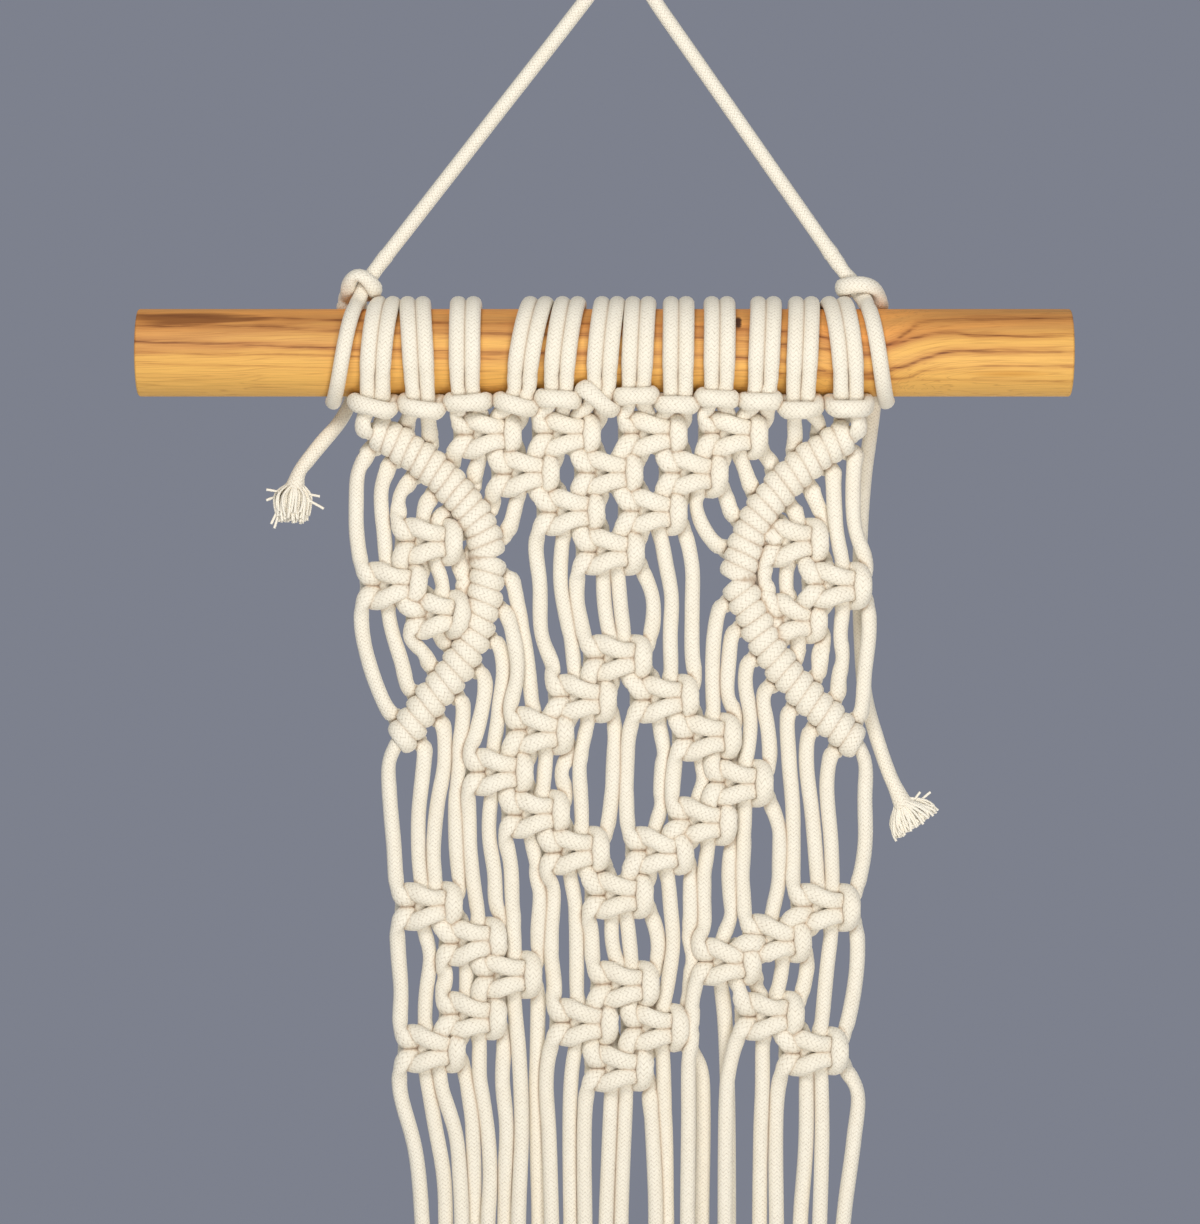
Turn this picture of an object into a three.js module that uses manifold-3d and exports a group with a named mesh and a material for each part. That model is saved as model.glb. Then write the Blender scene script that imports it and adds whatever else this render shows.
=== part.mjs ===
// A macrame wall hanging: a net of square knots and hitched chevrons on a round wooden rod, hung by a cord.
// Millimetres, +Z up, +Y away from the viewer. The origin is the point under the hanging cord's bend that
// bears on what holds it. Places on the hanging are given by x and by the drop below the rod's axis.
import * as THREE from 'three';
import { mergeVertices } from 'three/addons/utils/BufferGeometryUtils.js';
import Module from 'manifold-3d';

const wasm = await Module();
wasm.setup();
const { lerp, degToRad } = THREE.MathUtils;

// Driving dimensions
const CORD = 5;
const CLEARANCE = 0.3;
const ROD_DIAMETER = 30;
const ROD_LENGTH = 320;
const ROD_LEFT_X = -166;
const ROD_EASED_EDGE = 0.8;
const ROD_DROP = 127.5;
const NET_Y = -7;
const FRINGE_DROP = 460;

// Facets: sides of a strand's section, of a free cord's section and of the rod
const STRAND_SIDES = 3;
const CORD_SIDES = 8;
const ROD_SIDES = 28;
const STRAND_STEP = 18;

// Corners of a three-sided strand, which is then as wide as the cord
const STRAND_RADIUS = CORD * 0.56;
// Loops clear the rod at the middle of their flats too
const LOOP_STAND_OFF = 1.5;
const LOOP_RADIUS = ROD_DIAMETER / 2 + CLEARANCE + STRAND_RADIUS + LOOP_STAND_OFF;

// The strands of one pair lie this far from the pair's centre
const PAIR_OFFSET = 2.6;

// Heading: one row for each doubled cord, left to right. Its centre over the rod's top and at its front bar,
// the bar's two ends in x, and their drops.
const HEADING = [
  { over: -81, front: -84, barFrom: -93.5, barTo: -76, dropFrom: 18, dropTo: 21 },
  { over: -71, front: -69, barFrom: -76, barTo: -59.5, dropFrom: 19.5, dropTo: 21 },
  { over: -53.5, front: -53.5, barFrom: -60.5, barTo: -44, dropFrom: 18.5, dropTo: 17.5 },
  { over: -28.5, front: -34, barFrom: -44, barTo: -29.5, dropFrom: 17.5, dropTo: 20 },
  { over: -17.5, front: -21.5, barFrom: -30, barTo: -15.5, dropFrom: 16.5, dropTo: 16.5 },
  { over: -4, front: -7, barFrom: -15.5, barTo: -2, dropFrom: 12, dropTo: 20.5 },
  { over: 6.5, front: 5, barFrom: -3, barTo: 12, dropFrom: 15.5, dropTo: 15.5 },
  { over: 19.5, front: 19, barFrom: 11.5, barTo: 26, dropFrom: 18.5, dropTo: 18.5 },
  { over: 33.5, front: 33, barFrom: 25, barTo: 39, dropFrom: 16.5, dropTo: 16.5 },
  { over: 49.5, front: 48, barFrom: 39.5, barTo: 53, dropFrom: 17.5, dropTo: 17.5 },
  { over: 62.5, front: 61, barFrom: 53, barTo: 68, dropFrom: 20.5, dropTo: 20.5 },
  { over: 73.5, front: 77, barFrom: 69, barTo: 85.5, dropFrom: 20, dropTo: 20 },
];
const STRAND_COUNT = 2 * HEADING.length;
// The bars lie in front of the strands that they hold, and their ends come forward from under the rod
const HEADING_BAR_Y = -17;
const HEADING_BAR_END_Y = -15;
// Where a strand of the heading leaves the rod's front for its first tie
const HEADING_FOOT = { drop: 18, y: -11.5 };
// A doubled cord's way round the rod: the angle from the rod's front up and over, the share of the way from
// its front place to its place over the rod, and the share from there to the bar's end
const HEADING_TURNS = [
  { degrees: -30, toOver: 0, toBar: 0 },
  { degrees: 30, toOver: 0.5, toBar: 0 },
  { degrees: 90, toOver: 1, toBar: 0 },
  { degrees: 150, toOver: 1, toBar: 0 },
  { degrees: 205, toOver: 1, toBar: 0.5 },
  { degrees: 250, toOver: 1, toBar: 1 },
  { degrees: 290, toOver: 1, toBar: 1 },
];
const HEADING_STEPS = 23;

// Square knots: the first of the four strands that each one ties, and its centre
const SQUARE_KNOTS = [
  // Triangle under the heading
  { first: 5, x: -46, drop: 28.5 },
  { first: 9, x: -19, drop: 28.5 },
  { first: 13, x: 10.5, drop: 28.5 },
  { first: 17, x: 38, drop: 28.5 },
  { first: 7, x: -33, drop: 41.5 },
  { first: 11, x: -4.5, drop: 41.5 },
  { first: 15, x: 24.5, drop: 41.5 },
  { first: 9, x: -17.5, drop: 54.5 },
  { first: 13, x: 10.5, drop: 54.5 },
  { first: 11, x: -4, drop: 68 },
  // Inside the left and the right chevron
  { first: 4, x: -66, drop: 65 },
  { first: 2, x: -78, drop: 80 },
  { first: 4, x: -62.5, drop: 90 },
  { first: 18, x: 59.5, drop: 64 },
  { first: 20, x: 73.5, drop: 80 },
  { first: 18, x: 58.5, drop: 91.5 },
  // Large diamond
  { first: 11, x: -1.5, drop: 105 },
  { first: 9, x: -13.5, drop: 118.5 },
  { first: 13, x: 14.5, drop: 118.5 },
  { first: 7, x: -28, drop: 129.5 },
  { first: 15, x: 29, drop: 131.5 },
  { first: 5, x: -42, drop: 143.5 },
  { first: 17, x: 41.5, drop: 147.5 },
  { first: 7, x: -29.5, drop: 158 },
  { first: 15, x: 27.5, drop: 160.5 },
  { first: 9, x: -16, drop: 170.5 },
  { first: 13, x: 13, drop: 170.5 },
  { first: 11, x: -1, drop: 185.5 },
  // Lower left and lower right arrowheads
  { first: 1, x: -66, drop: 189.5 },
  { first: 3, x: -51, drop: 201.5 },
  { first: 5, x: -39, drop: 213 },
  { first: 3, x: -51, drop: 227 },
  { first: 1, x: -65, drop: 238 },
  { first: 21, x: 69.5, drop: 190 },
  { first: 19, x: 53, drop: 200.5 },
  { first: 17, x: 38, drop: 210 },
  { first: 19, x: 50.5, drop: 227 },
  { first: 21, x: 65.5, drop: 239 },
  // Small diamond
  { first: 11, x: 1, drop: 216.5 },
  { first: 9, x: -13, drop: 229 },
  { first: 13, x: 11.5, drop: 231 },
  { first: 11, x: -1, drop: 244.5 },
];

// A square knot's strands enter and leave it at these offsets from its centre
const KNOT_PORTS = [-8, -2.5, 2.5, 8];
const KNOT_HALF_HEIGHT = 8;
const KNOT_HALF_WIDTH = 11.5;
// A strand's end is sunk this far into its knot
const KNOT_SINK = 2;
// Relief of a knot's front, top to bottom: the two bars are rows, the upright turn is the third column.
// The back is the same relief turned half round.
const KNOT_COLUMNS = [-KNOT_HALF_WIDTH, -4, 7.5, KNOT_HALF_WIDTH];
const KNOT_RELIEF = [
  { z: KNOT_HALF_HEIGHT, depth: [2.8, 3.2, 3.2, 2.8] },
  { z: 4, depth: [3, 7.2, 7.2, 3.2] },
  { z: 0, depth: [3, 4.2, 8.4, 3.4] },
  { z: -4, depth: [3, 7.2, 7.2, 3.2] },
  { z: -KNOT_HALF_HEIGHT, depth: [2.8, 3.2, 3.2, 2.8] },
];

// Hitched bars of the two chevrons: the way in x and drop, the strand that the others are hitched on, and the
// first and last strand hitched
const HITCH_BARS = [
  {
    way: [[-84.5, 27], [-79.4, 29.6], [-64.9, 39.8], [-54.4, 50.7], [-48.2, 60.5], [-45.6, 70.2]],
    holds: 1, first: 2, last: 8,
  },
  {
    way: [[-45.6, 70.2], [-46.9, 84], [-50.7, 98], [-57.7, 109.8], [-66.2, 119.8], [-76.5, 133.5]],
    holds: 1, first: 8, last: 2,
  },
  {
    way: [[77.5, 28.3], [72.9, 31.1], [63, 38.1], [53.5, 47.2], [45.2, 58.8], [39, 78]],
    holds: 24, first: 23, last: 17,
  },
  {
    way: [[39, 78], [43.6, 87.7], [49.4, 100.1], [57.6, 111.7], [66.3, 120.8], [80.5, 134.5]],
    holds: 24, first: 17, last: 23,
  },
];
const BAR_RADIUS = 6.8;
const BAR_GROOVE_RADIUS = 5.4;
const BAR_SIDES = 6;

// Where a slack strand bows aside between two knots
const BOWS = [
  { strand: 1, x: -79.5, drop: 155 },
  { strand: 1, x: -76.5, drop: 212 },
  { strand: 2, x: -91.5, drop: 48 },
  { strand: 2, x: -88.5, drop: 100 },
  { strand: 2, x: -68.5, drop: 150 },
  { strand: 2, x: -65, drop: 211 },
  { strand: 3, x: -82, drop: 49 },
  { strand: 3, x: -78, drop: 99 },
  { strand: 3, x: -61.5, drop: 148 },
  { strand: 3, x: -60, drop: 214 },
  { strand: 4, x: -77, drop: 51 },
  { strand: 4, x: -55.5, drop: 145 },
  { strand: 5, x: -48, drop: 122 },
  { strand: 5, x: -52.5, drop: 168 },
  { strand: 6, x: -40.5, drop: 111 },
  { strand: 6, x: -45, drop: 170 },
  { strand: 7, x: -35.5, drop: 103 },
  { strand: 7, x: -38, drop: 182 },
  { strand: 8, x: -34, drop: 90 },
  { strand: 8, x: -28.5, drop: 184 },
  { strand: 9, x: -29, drop: 78 },
  { strand: 9, x: -26.5, drop: 144 },
  { strand: 9, x: -24.5, drop: 195 },
  { strand: 10, x: -21, drop: 80 },
  { strand: 10, x: -16, drop: 200 },
  { strand: 11, x: -15.5, drop: 85 },
  { strand: 11, x: -14.5, drop: 144 },
  { strand: 11, x: -10.5, drop: 200 },
  { strand: 12, x: -3, drop: 144 },
  { strand: 13, x: 1.5, drop: 144 },
  { strand: 14, x: 10.5, drop: 87 },
  { strand: 14, x: 15, drop: 144 },
  { strand: 14, x: 12.5, drop: 200 },
  { strand: 15, x: 17, drop: 86 },
  { strand: 15, x: 15.5, drop: 146 },
  { strand: 15, x: 17, drop: 198 },
  { strand: 16, x: 24, drop: 88 },
  { strand: 16, x: 24, drop: 200 },
  { strand: 17, x: 31.5, drop: 102 },
  { strand: 17, x: 27, drop: 186 },
  { strand: 18, x: 48.5, drop: 77 },
  { strand: 18, x: 36.5, drop: 108 },
  { strand: 18, x: 37, drop: 182 },
  { strand: 19, x: 42.5, drop: 120 },
  { strand: 19, x: 41.5, drop: 174 },
  { strand: 20, x: 50.5, drop: 128 },
  { strand: 20, x: 54, drop: 172 },
  { strand: 21, x: 57.5, drop: 150 },
  { strand: 22, x: 72.5, drop: 52 },
  { strand: 22, x: 75, drop: 99 },
  { strand: 22, x: 63.5, drop: 150 },
  { strand: 23, x: 79, drop: 50 },
  { strand: 23, x: 84.5, drop: 99 },
  { strand: 23, x: 70, drop: 152 },
  { strand: 23, x: 70.5, drop: 213 },
  { strand: 24, x: 83, drop: 158 },
  { strand: 24, x: 81, drop: 212 },
];

// Fringe: where each strand hangs, left to right, and how far it stands behind the net's mid-plane
const FRINGE = [
  { x: -67.5, behind: 0 },
  { x: -60.5, behind: 2 },
  { x: -55.5, behind: -2.5 },
  { x: -50.5, behind: 2 },
  { x: -45, behind: -2 },
  { x: -40, behind: 2 },
  { x: -34.5, behind: -2 },
  { x: -29, behind: 3 },
  { x: -23.5, behind: -1 },
  { x: -17, behind: 1 },
  { x: -11.5, behind: -2 },
  { x: -5, behind: 0 },
  { x: 1.5, behind: 0 },
  { x: 11, behind: -2 },
  { x: 16.5, behind: 2 },
  { x: 28, behind: 4 },
  { x: 22.7, behind: -4 },
  { x: 36.5, behind: 4.5 },
  { x: 35.4, behind: -4 },
  { x: 47, behind: 1 },
  { x: 53, behind: -2 },
  { x: 61, behind: 2 },
  { x: 66.5, behind: -2 },
  { x: 75, behind: 0 },
];
// A strand has swung to its place in the fringe at this drop
const FRINGE_SETTLE_DROP = 300;
const FRINGE_STEPS = 4;

// Hanging cord: from the left knot's stub over the bend to the right knot's, by its rise above the rod's axis
const HANGING_ROUTE = [
  { x: -80.6, rise: 33.7 },
  { x: -72, rise: 44.7 },
  { x: -60, rise: 60.1 },
  { x: -48, rise: 75.5 },
  { x: -36, rise: 90.9 },
  { x: -24, rise: 106.2 },
  { x: -14, rise: 119.1 },
  { x: -8.3, rise: 126.3 },
  { x: -4.7, rise: 129.2 },
  { x: -0.2, rise: 130.2 },
  { x: 4.3, rise: 129 },
  { x: 7.8, rise: 125.9 },
  { x: 14, rise: 116.9 },
  { x: 24, rise: 102.6 },
  { x: 36, rise: 85.4 },
  { x: 48, rise: 68.2 },
  { x: 60, rise: 51 },
  { x: 71.9, rise: 34 },
];
const HANGING_STEPS = 32;

// Hitches: the knot's centre and half sizes, the lean of the wrap round it, the loop's x at the rod's top and
// underside, and two points of the leg's stub
const HITCHES = {
  hitch_left: {
    x: -92.5, rise: 22.9, half: [5, 6.2, 7.4], lean: 30, topFront: -91.5, under: -100, topBack: -97.5,
    legBase: [-84.5, 28.7], legTip: [-80.8, 33.4],
  },
  hitch_right: {
    x: 86.2, rise: 21.2, half: [5.6, 6.2, 5.4], lean: 8, topFront: 85, under: 93, topBack: 93.5,
    legBase: [75.8, 28.4], legTip: [72.1, 33.7],
  },
};
// The loop runs from the front of the knot down and under the rod to the back of the knot
const HITCH_LOOP = { fromDegrees: 78, toDegrees: -255, points: 10, steps: 15 };
const HITCH_STUB_STEPS = 4;
// The wrap's thickness as a share of the knot's half width, and how far it stands proud
const HITCH_WRAP_SHARE = 0.36;
const HITCH_WRAP_PROUD = 0.6;
// Facets of the knot's ball and of its wrap
const HITCH_BALL_FACETS = [10, 8];
const HITCH_WRAP_FACETS = [7, 12];

// Tails: routes from behind the rod down to the frayed end
const TAIL_ROUTES = {
  tail_left: [
    { x: -92, y: 7.3, drop: -23.5 },
    { x: -91.8, y: 10.3, drop: -23.5 },
    { x: -91, y: 15.5, drop: -19 },
    { x: -91, y: 19, drop: -9 },
    { x: -92, y: 19.8, drop: 0 },
    { x: -93.2, y: 18.6, drop: 8 },
    { x: -94.2, y: 15.8, drop: 16 },
    { x: -97, y: 12, drop: 23.5 },
    { x: -101.5, y: 7, drop: 30 },
    { x: -106.5, y: 3.5, drop: 37.5 },
    { x: -110, y: 2, drop: 46 },
  ],
  tail_right: [
    { x: 86.2, y: 7.3, drop: -22 },
    { x: 86.2, y: 10.3, drop: -22 },
    { x: 86.5, y: 15.5, drop: -18.5 },
    { x: 87, y: 19, drop: -9 },
    { x: 87.5, y: 19.8, drop: 0 },
    { x: 88, y: 18.8, drop: 8 },
    { x: 87.5, y: 15.5, drop: 17 },
    { x: 86, y: 12.5, drop: 28 },
    { x: 84, y: 9.5, drop: 42 },
    { x: 82.5, y: 7, drop: 60 },
    { x: 82, y: 6, drop: 80 },
    { x: 82.5, y: 5.5, drop: 100 },
    { x: 84, y: 5, drop: 118 },
    { x: 88, y: 4, drop: 133 },
    { x: 92, y: 3.5, drop: 144 },
    { x: 95.5, y: 3, drop: 151 },
  ],
};
const TAIL_STEPS_PER_POINT = 1.5;

// Frayed ends: the lean of the tail where it ends, in degrees from straight down, and the tuft's sizes
const FRAYS = {
  fray_left: { tail: 'tail_left', lean: -20, spread: 50, length: 13 },
  fray_right: { tail: 'tail_right', lean: 30, spread: 48, length: 13 },
};
const FRAY_HEAD_LENGTH = 5;
const FRAY_HEAD_RADIUS = CORD * 0.55;
const FRAY_CLEARANCE = 0.7;
// Locks of a tuft: how many, their root radius and sides, how far their roots spread, and how much they swing
// to the front and the back from one lock to the next
const FRAY_LOCKS = 11;
const FRAY_LOCK_RADIUS = 1.5;
const FRAY_LOCK_SIDES = 4;
const FRAY_ROOT_SPREAD = 1.2;
const FRAY_SWING = 0.45;
const FRAY_SWING_STEP = 2.4;

// Materials
const cotton = new THREE.MeshStandardMaterial({ name: 'cotton_cord', color: 0xe3d8c0, roughness: 0.95 });
const wood = new THREE.MeshStandardMaterial({ name: 'wood', color: 0xc07f36, roughness: 0.55 });

// A place on the hanging as a point
function place(x, drop, y = NET_Y) {
  return new THREE.Vector3(x, y, -ROD_DROP - drop);
}

// A closed geometry as a solid that can be joined
function solid(geometry) {
  const bare = geometry.clone();
  bare.deleteAttribute('normal');
  bare.deleteAttribute('uv');
  const merged = mergeVertices(bare, 1e-5);
  const indices = merged.index ? merged.index.array : merged.attributes.position.array.map((_, i) => i);
  return new wasm.Manifold(new wasm.Mesh({
    numProp: 3,
    vertProperties: new Float32Array(merged.attributes.position.array),
    triVerts: new Uint32Array(indices),
  }));
}

// All the solids joined in one geometry
function join(geometries) {
  const joined = wasm.Manifold.union(geometries.map(solid));
  const { vertProperties, triVerts } = joined.getMesh();
  const geometry = new THREE.BufferGeometry();
  geometry.setAttribute('position', new THREE.BufferAttribute(vertProperties, 3));
  geometry.setIndex(new THREE.BufferAttribute(triVerts, 1));
  geometry.computeVertexNormals();
  return geometry;
}

// A round section as a polygon with its first corner to the front
function section(radius, sides) {
  const corners = Array.from({ length: sides }, (_, i) => {
    const angle = (2 * Math.PI * i) / sides;
    return new THREE.Vector2(radius * Math.cos(angle), radius * Math.sin(angle));
  });
  return new THREE.Shape(corners);
}

// A tube through points
function tube(points, { radius = STRAND_RADIUS, sides = STRAND_SIDES, steps } = {}) {
  const path = new THREE.CatmullRomCurve3(points, false, 'centripetal');
  const count = steps ?? Math.max(1, Math.round(path.getLength() / STRAND_STEP));
  return new THREE.ExtrudeGeometry(section(radius, sides), {
    steps: count, extrudePath: path, bevelEnabled: false,
  });
}

// A closed relief with its front and back facing along Y, its back the front turned half round
function squareKnotPad({ x, drop }) {
  const columns = KNOT_COLUMNS.length;
  const rows = KNOT_RELIEF.length;
  const positions = [];
  for (const { z, depth } of KNOT_RELIEF) {
    KNOT_COLUMNS.forEach((column, i) => positions.push(x + column, NET_Y - depth[i], z - ROD_DROP - drop));
  }
  for (const { z, depth } of KNOT_RELIEF) {
    KNOT_COLUMNS.forEach((column, i) => positions.push(x - column, NET_Y + depth[i], z - ROD_DROP - drop));
  }
  const front = (row, column) => row * columns + column;
  const back = (row, column) => rows * columns + row * columns + (columns - 1 - column);
  const index = [];
  const quad = (a, b, c, d) => index.push(a, b, c, a, c, d);
  for (let row = 0; row < rows - 1; row += 1) {
    for (let column = 0; column < columns - 1; column += 1) {
      quad(front(row, column), front(row + 1, column), front(row + 1, column + 1), front(row, column + 1));
      quad(back(row, column), back(row, column + 1), back(row + 1, column + 1), back(row + 1, column));
    }
    quad(front(row, 0), back(row, 0), back(row + 1, 0), front(row + 1, 0));
    const last = columns - 1;
    quad(front(row, last), front(row + 1, last), back(row + 1, last), back(row, last));
  }
  for (let column = 0; column < columns - 1; column += 1) {
    quad(front(0, column), front(0, column + 1), back(0, column + 1), back(0, column));
    const last = rows - 1;
    quad(front(last, column), back(last, column), back(last, column + 1), front(last, column + 1));
  }
  const geometry = new THREE.BufferGeometry();
  geometry.setAttribute('position', new THREE.Float32BufferAttribute(positions, 3));
  geometry.setIndex(index);
  return geometry;
}

// The line of a hitched bar
function barPath({ way }) {
  return new THREE.CatmullRomCurve3(way.map(([x, drop]) => place(x, drop)), false, 'centripetal');
}

// A hitched bar: a round bar with a ridge for each hitch, turned about an axis of length 1 and laid along its line
function hitchBar(bar) {
  const path = barPath(bar);
  const hitches = Math.abs(bar.last - bar.first) + 1;
  const profile = [new THREE.Vector2(0, 0)];
  for (let hitch = 0; hitch < hitches; hitch += 1) {
    profile.push(new THREE.Vector2(BAR_GROOVE_RADIUS, hitch / hitches));
    profile.push(new THREE.Vector2(BAR_RADIUS, (hitch + 0.5) / hitches));
  }
  profile.push(new THREE.Vector2(BAR_GROOVE_RADIUS, 1), new THREE.Vector2(0, 1));
  const geometry = new THREE.LatheGeometry(profile, BAR_SIDES);
  const corners = geometry.attributes.position;
  for (let i = 0; i < corners.count; i += 1) {
    const share = corners.getY(i);
    const along = path.getTangentAt(share);
    const across = new THREE.Vector3(-along.z, 0, along.x);
    const corner = path.getPointAt(share).addScaledVector(across, corners.getX(i));
    corners.setXYZ(i, corner.x, corner.y + corners.getZ(i), corner.z);
  }
  return geometry;
}

// The middle of a strand's hitch on its bar
function hitchPlace(bar, strand) {
  const count = Math.abs(bar.last - bar.first) + 1;
  return barPath(bar).getPointAt((Math.abs(strand - bar.first) + 0.5) / count);
}

// What a strand is tied into, from the top down, with the point where it enters and the one where it leaves
function tiesOf(strand) {
  const ties = [];
  for (const { first, x, drop } of SQUARE_KNOTS) {
    const port = KNOT_PORTS[strand - first];
    if (port !== undefined) {
      const reach = KNOT_HALF_HEIGHT - KNOT_SINK;
      ties.push({ drop, enters: place(x + port, drop - reach), leaves: place(x + port, drop + reach) });
    }
  }
  for (const bar of HITCH_BARS) {
    if (strand === bar.holds) {
      const [start, end] = [bar.way[0], bar.way.at(-1)];
      ties.push({ drop: start[1], enters: place(...start), leaves: place(...end) });
    } else if (strand >= Math.min(bar.first, bar.last) && strand <= Math.max(bar.first, bar.last)) {
      const middle = hitchPlace(bar, strand);
      ties.push({ drop: -ROD_DROP - middle.z, enters: middle, leaves: middle });
    }
  }
  return ties.sort((a, b) => a.drop - b.drop);
}

// A point on a loop round the rod, by the angle from the rod's front up and over
function roundRod(x, radius, degrees) {
  const angle = degToRad(degrees);
  return place(x, -radius * Math.sin(angle), -radius * Math.cos(angle));
}

// One doubled cord of the heading: up from the first tie, over the rod, down behind it, across the front of
// its own strands as the lark's head's bar, and back the same way
function larksHead(pair, number) {
  const half = (side) => {
    const strand = 2 * number + (side < 0 ? 1 : 2);
    const front = pair.front + side * PAIR_OFFSET;
    const over = pair.over + side * PAIR_OFFSET;
    const barEnd = side < 0 ? pair.barFrom + CORD / 2 : pair.barTo - CORD / 2;
    const barDrop = side < 0 ? pair.dropFrom : pair.dropTo;
    const turns = HEADING_TURNS.map(({ degrees, toOver, toBar }) => {
      const x = lerp(lerp(front, over, toOver), barEnd, toBar);
      return roundRod(x, LOOP_RADIUS, degrees);
    });
    return [
      tiesOf(strand)[0].enters,
      place(front, HEADING_FOOT.drop, HEADING_FOOT.y),
      ...turns,
      place(barEnd, barDrop, HEADING_BAR_END_Y),
    ];
  };
  const bar = place((pair.barFrom + pair.barTo) / 2, (pair.dropFrom + pair.dropTo) / 2, HEADING_BAR_Y);
  return tube([...half(-1), bar, ...half(1).reverse()], { steps: HEADING_STEPS });
}

// The free stretches of one strand between its ties, and its fringe
function strandStretches(strand) {
  const ties = tiesOf(strand);
  const bows = BOWS.filter((bow) => bow.strand === strand);
  const stretches = [];
  for (let i = 0; i + 1 < ties.length; i += 1) {
    const above = ties[i].leaves;
    const below = ties[i + 1].enters;
    const between = bows
      .map(({ x, drop }) => place(x, drop))
      .filter((point) => point.z < above.z && point.z > below.z);
    if (above.distanceTo(below) > CORD) {
      stretches.push(tube([above, ...between, below]));
    }
  }
  const { x, behind } = FRINGE[strand - 1];
  const y = NET_Y + behind;
  stretches.push(tube([
    ties.at(-1).leaves, place(x, FRINGE_SETTLE_DROP, y), place(x, FRINGE_DROP, y),
  ], { steps: FRINGE_STEPS }));
  return stretches;
}

// The whole net with its loops over the rod
function macramePanel() {
  const strands = Array.from({ length: STRAND_COUNT }, (_, i) => i + 1);
  return join([
    ...SQUARE_KNOTS.map(squareKnotPad),
    ...HITCH_BARS.map(hitchBar),
    ...HEADING.map(larksHead),
    ...strands.flatMap(strandStretches),
  ]);
}

// The rod, turned about its own axis
function rod() {
  const radius = ROD_DIAMETER / 2;
  const geometry = new THREE.LatheGeometry([
    new THREE.Vector2(0, 0),
    new THREE.Vector2(radius - ROD_EASED_EDGE, 0),
    new THREE.Vector2(radius, ROD_EASED_EDGE),
    new THREE.Vector2(radius, ROD_LENGTH - ROD_EASED_EDGE),
    new THREE.Vector2(radius - ROD_EASED_EDGE, ROD_LENGTH),
    new THREE.Vector2(0, ROD_LENGTH),
  ], ROD_SIDES);
  geometry.rotateZ(-Math.PI / 2);
  geometry.translate(ROD_LEFT_X, 0, -ROD_DROP);
  return geometry;
}

// The hanging cord between its two knots
function hangingCord() {
  return tube(HANGING_ROUTE.map(({ x, rise }) => place(x, -rise, 0)), {
    radius: CORD / 2, sides: CORD_SIDES, steps: HANGING_STEPS,
  });
}

// A knot on top of the rod with its loop round the rod and the stub of the leg
function hitch({ x, rise, half, lean, topFront, under, topBack, legBase, legTip }) {
  const knot = new THREE.SphereGeometry(1, ...HITCH_BALL_FACETS);
  knot.scale(...half);
  knot.translate(x, 0, rise - ROD_DROP);
  const wrap = new THREE.TorusGeometry(1 - HITCH_WRAP_SHARE, HITCH_WRAP_SHARE, ...HITCH_WRAP_FACETS);
  wrap.scale(half[0] + HITCH_WRAP_PROUD, half[1] + HITCH_WRAP_PROUD, half[0]);
  wrap.rotateY(degToRad(lean));
  wrap.translate(x, 0, rise + HITCH_WRAP_PROUD - ROD_DROP);
  const loopRadius = ROD_DIAMETER / 2 + CLEARANCE + CORD / 2 + LOOP_STAND_OFF;
  const turns = Array.from({ length: HITCH_LOOP.points }, (_, i) => {
    const share = i / (HITCH_LOOP.points - 1);
    const turnX = share < 0.5 ? lerp(topFront, under, 2 * share) : lerp(under, topBack, 2 * share - 1);
    return roundRod(turnX, loopRadius, lerp(HITCH_LOOP.fromDegrees, HITCH_LOOP.toDegrees, share));
  });
  const loop = tube(turns, { radius: CORD / 2, sides: CORD_SIDES, steps: HITCH_LOOP.steps });
  const stub = tube([
    place(x, -rise, 0), place(legBase[0], -legBase[1], 0), place(legTip[0], -legTip[1], 0),
  ], { radius: CORD / 2, sides: CORD_SIDES, steps: HITCH_STUB_STEPS });
  return join([knot, wrap, loop, stub]);
}

// A free tail of the hanging cord
function tail(route) {
  return tube(route.map(({ x, y, drop }) => place(x, drop, y)), {
    radius: CORD / 2, sides: CORD_SIDES, steps: Math.round(route.length * TAIL_STEPS_PER_POINT),
  });
}

// A frayed end: a short head with loose locks that fan out of it
function fray({ tail: tailName, lean, spread, length }) {
  const end = TAIL_ROUTES[tailName].at(-1);
  const head = new THREE.CylinderGeometry(FRAY_HEAD_RADIUS, CORD / 2, FRAY_HEAD_LENGTH, CORD_SIDES);
  head.translate(0, -FRAY_HEAD_LENGTH / 2 - FRAY_CLEARANCE, 0);
  const locks = [head];
  for (let i = 0; i < FRAY_LOCKS; i += 1) {
    const across = (2 * i) / (FRAY_LOCKS - 1) - 1;
    const lock = new THREE.ConeGeometry(FRAY_LOCK_RADIUS, length, FRAY_LOCK_SIDES);
    lock.rotateX(Math.PI);
    lock.translate(0, -length / 2, 0);
    lock.rotateX(FRAY_SWING * Math.cos(i * FRAY_SWING_STEP));
    lock.rotateZ(degToRad(spread * across));
    lock.translate(across * FRAY_ROOT_SPREAD, -FRAY_HEAD_LENGTH, 0);
    locks.push(lock);
  }
  const geometry = join(locks);
  geometry.rotateX(Math.PI / 2);
  geometry.rotateY(degToRad(-lean));
  const tip = place(end.x, end.drop, end.y);
  geometry.translate(tip.x, tip.y, tip.z);
  return geometry;
}

const group = new THREE.Group();

// Adds one named sub-part
function add(name, geometry, material) {
  const mesh = new THREE.Mesh(geometry, material);
  mesh.name = name;
  group.add(mesh);
}

add('rod', rod(), wood);
add('macrame_panel', macramePanel(), cotton);
add('hang_cord', hangingCord(), cotton);
for (const [name, sizes] of Object.entries(HITCHES)) {
  add(name, hitch(sizes), cotton);
}
for (const [name, route] of Object.entries(TAIL_ROUTES)) {
  add(name, tail(route), cotton);
}
for (const [name, sizes] of Object.entries(FRAYS)) {
  add(name, fray(sizes), cotton);
}

export default group;
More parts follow.
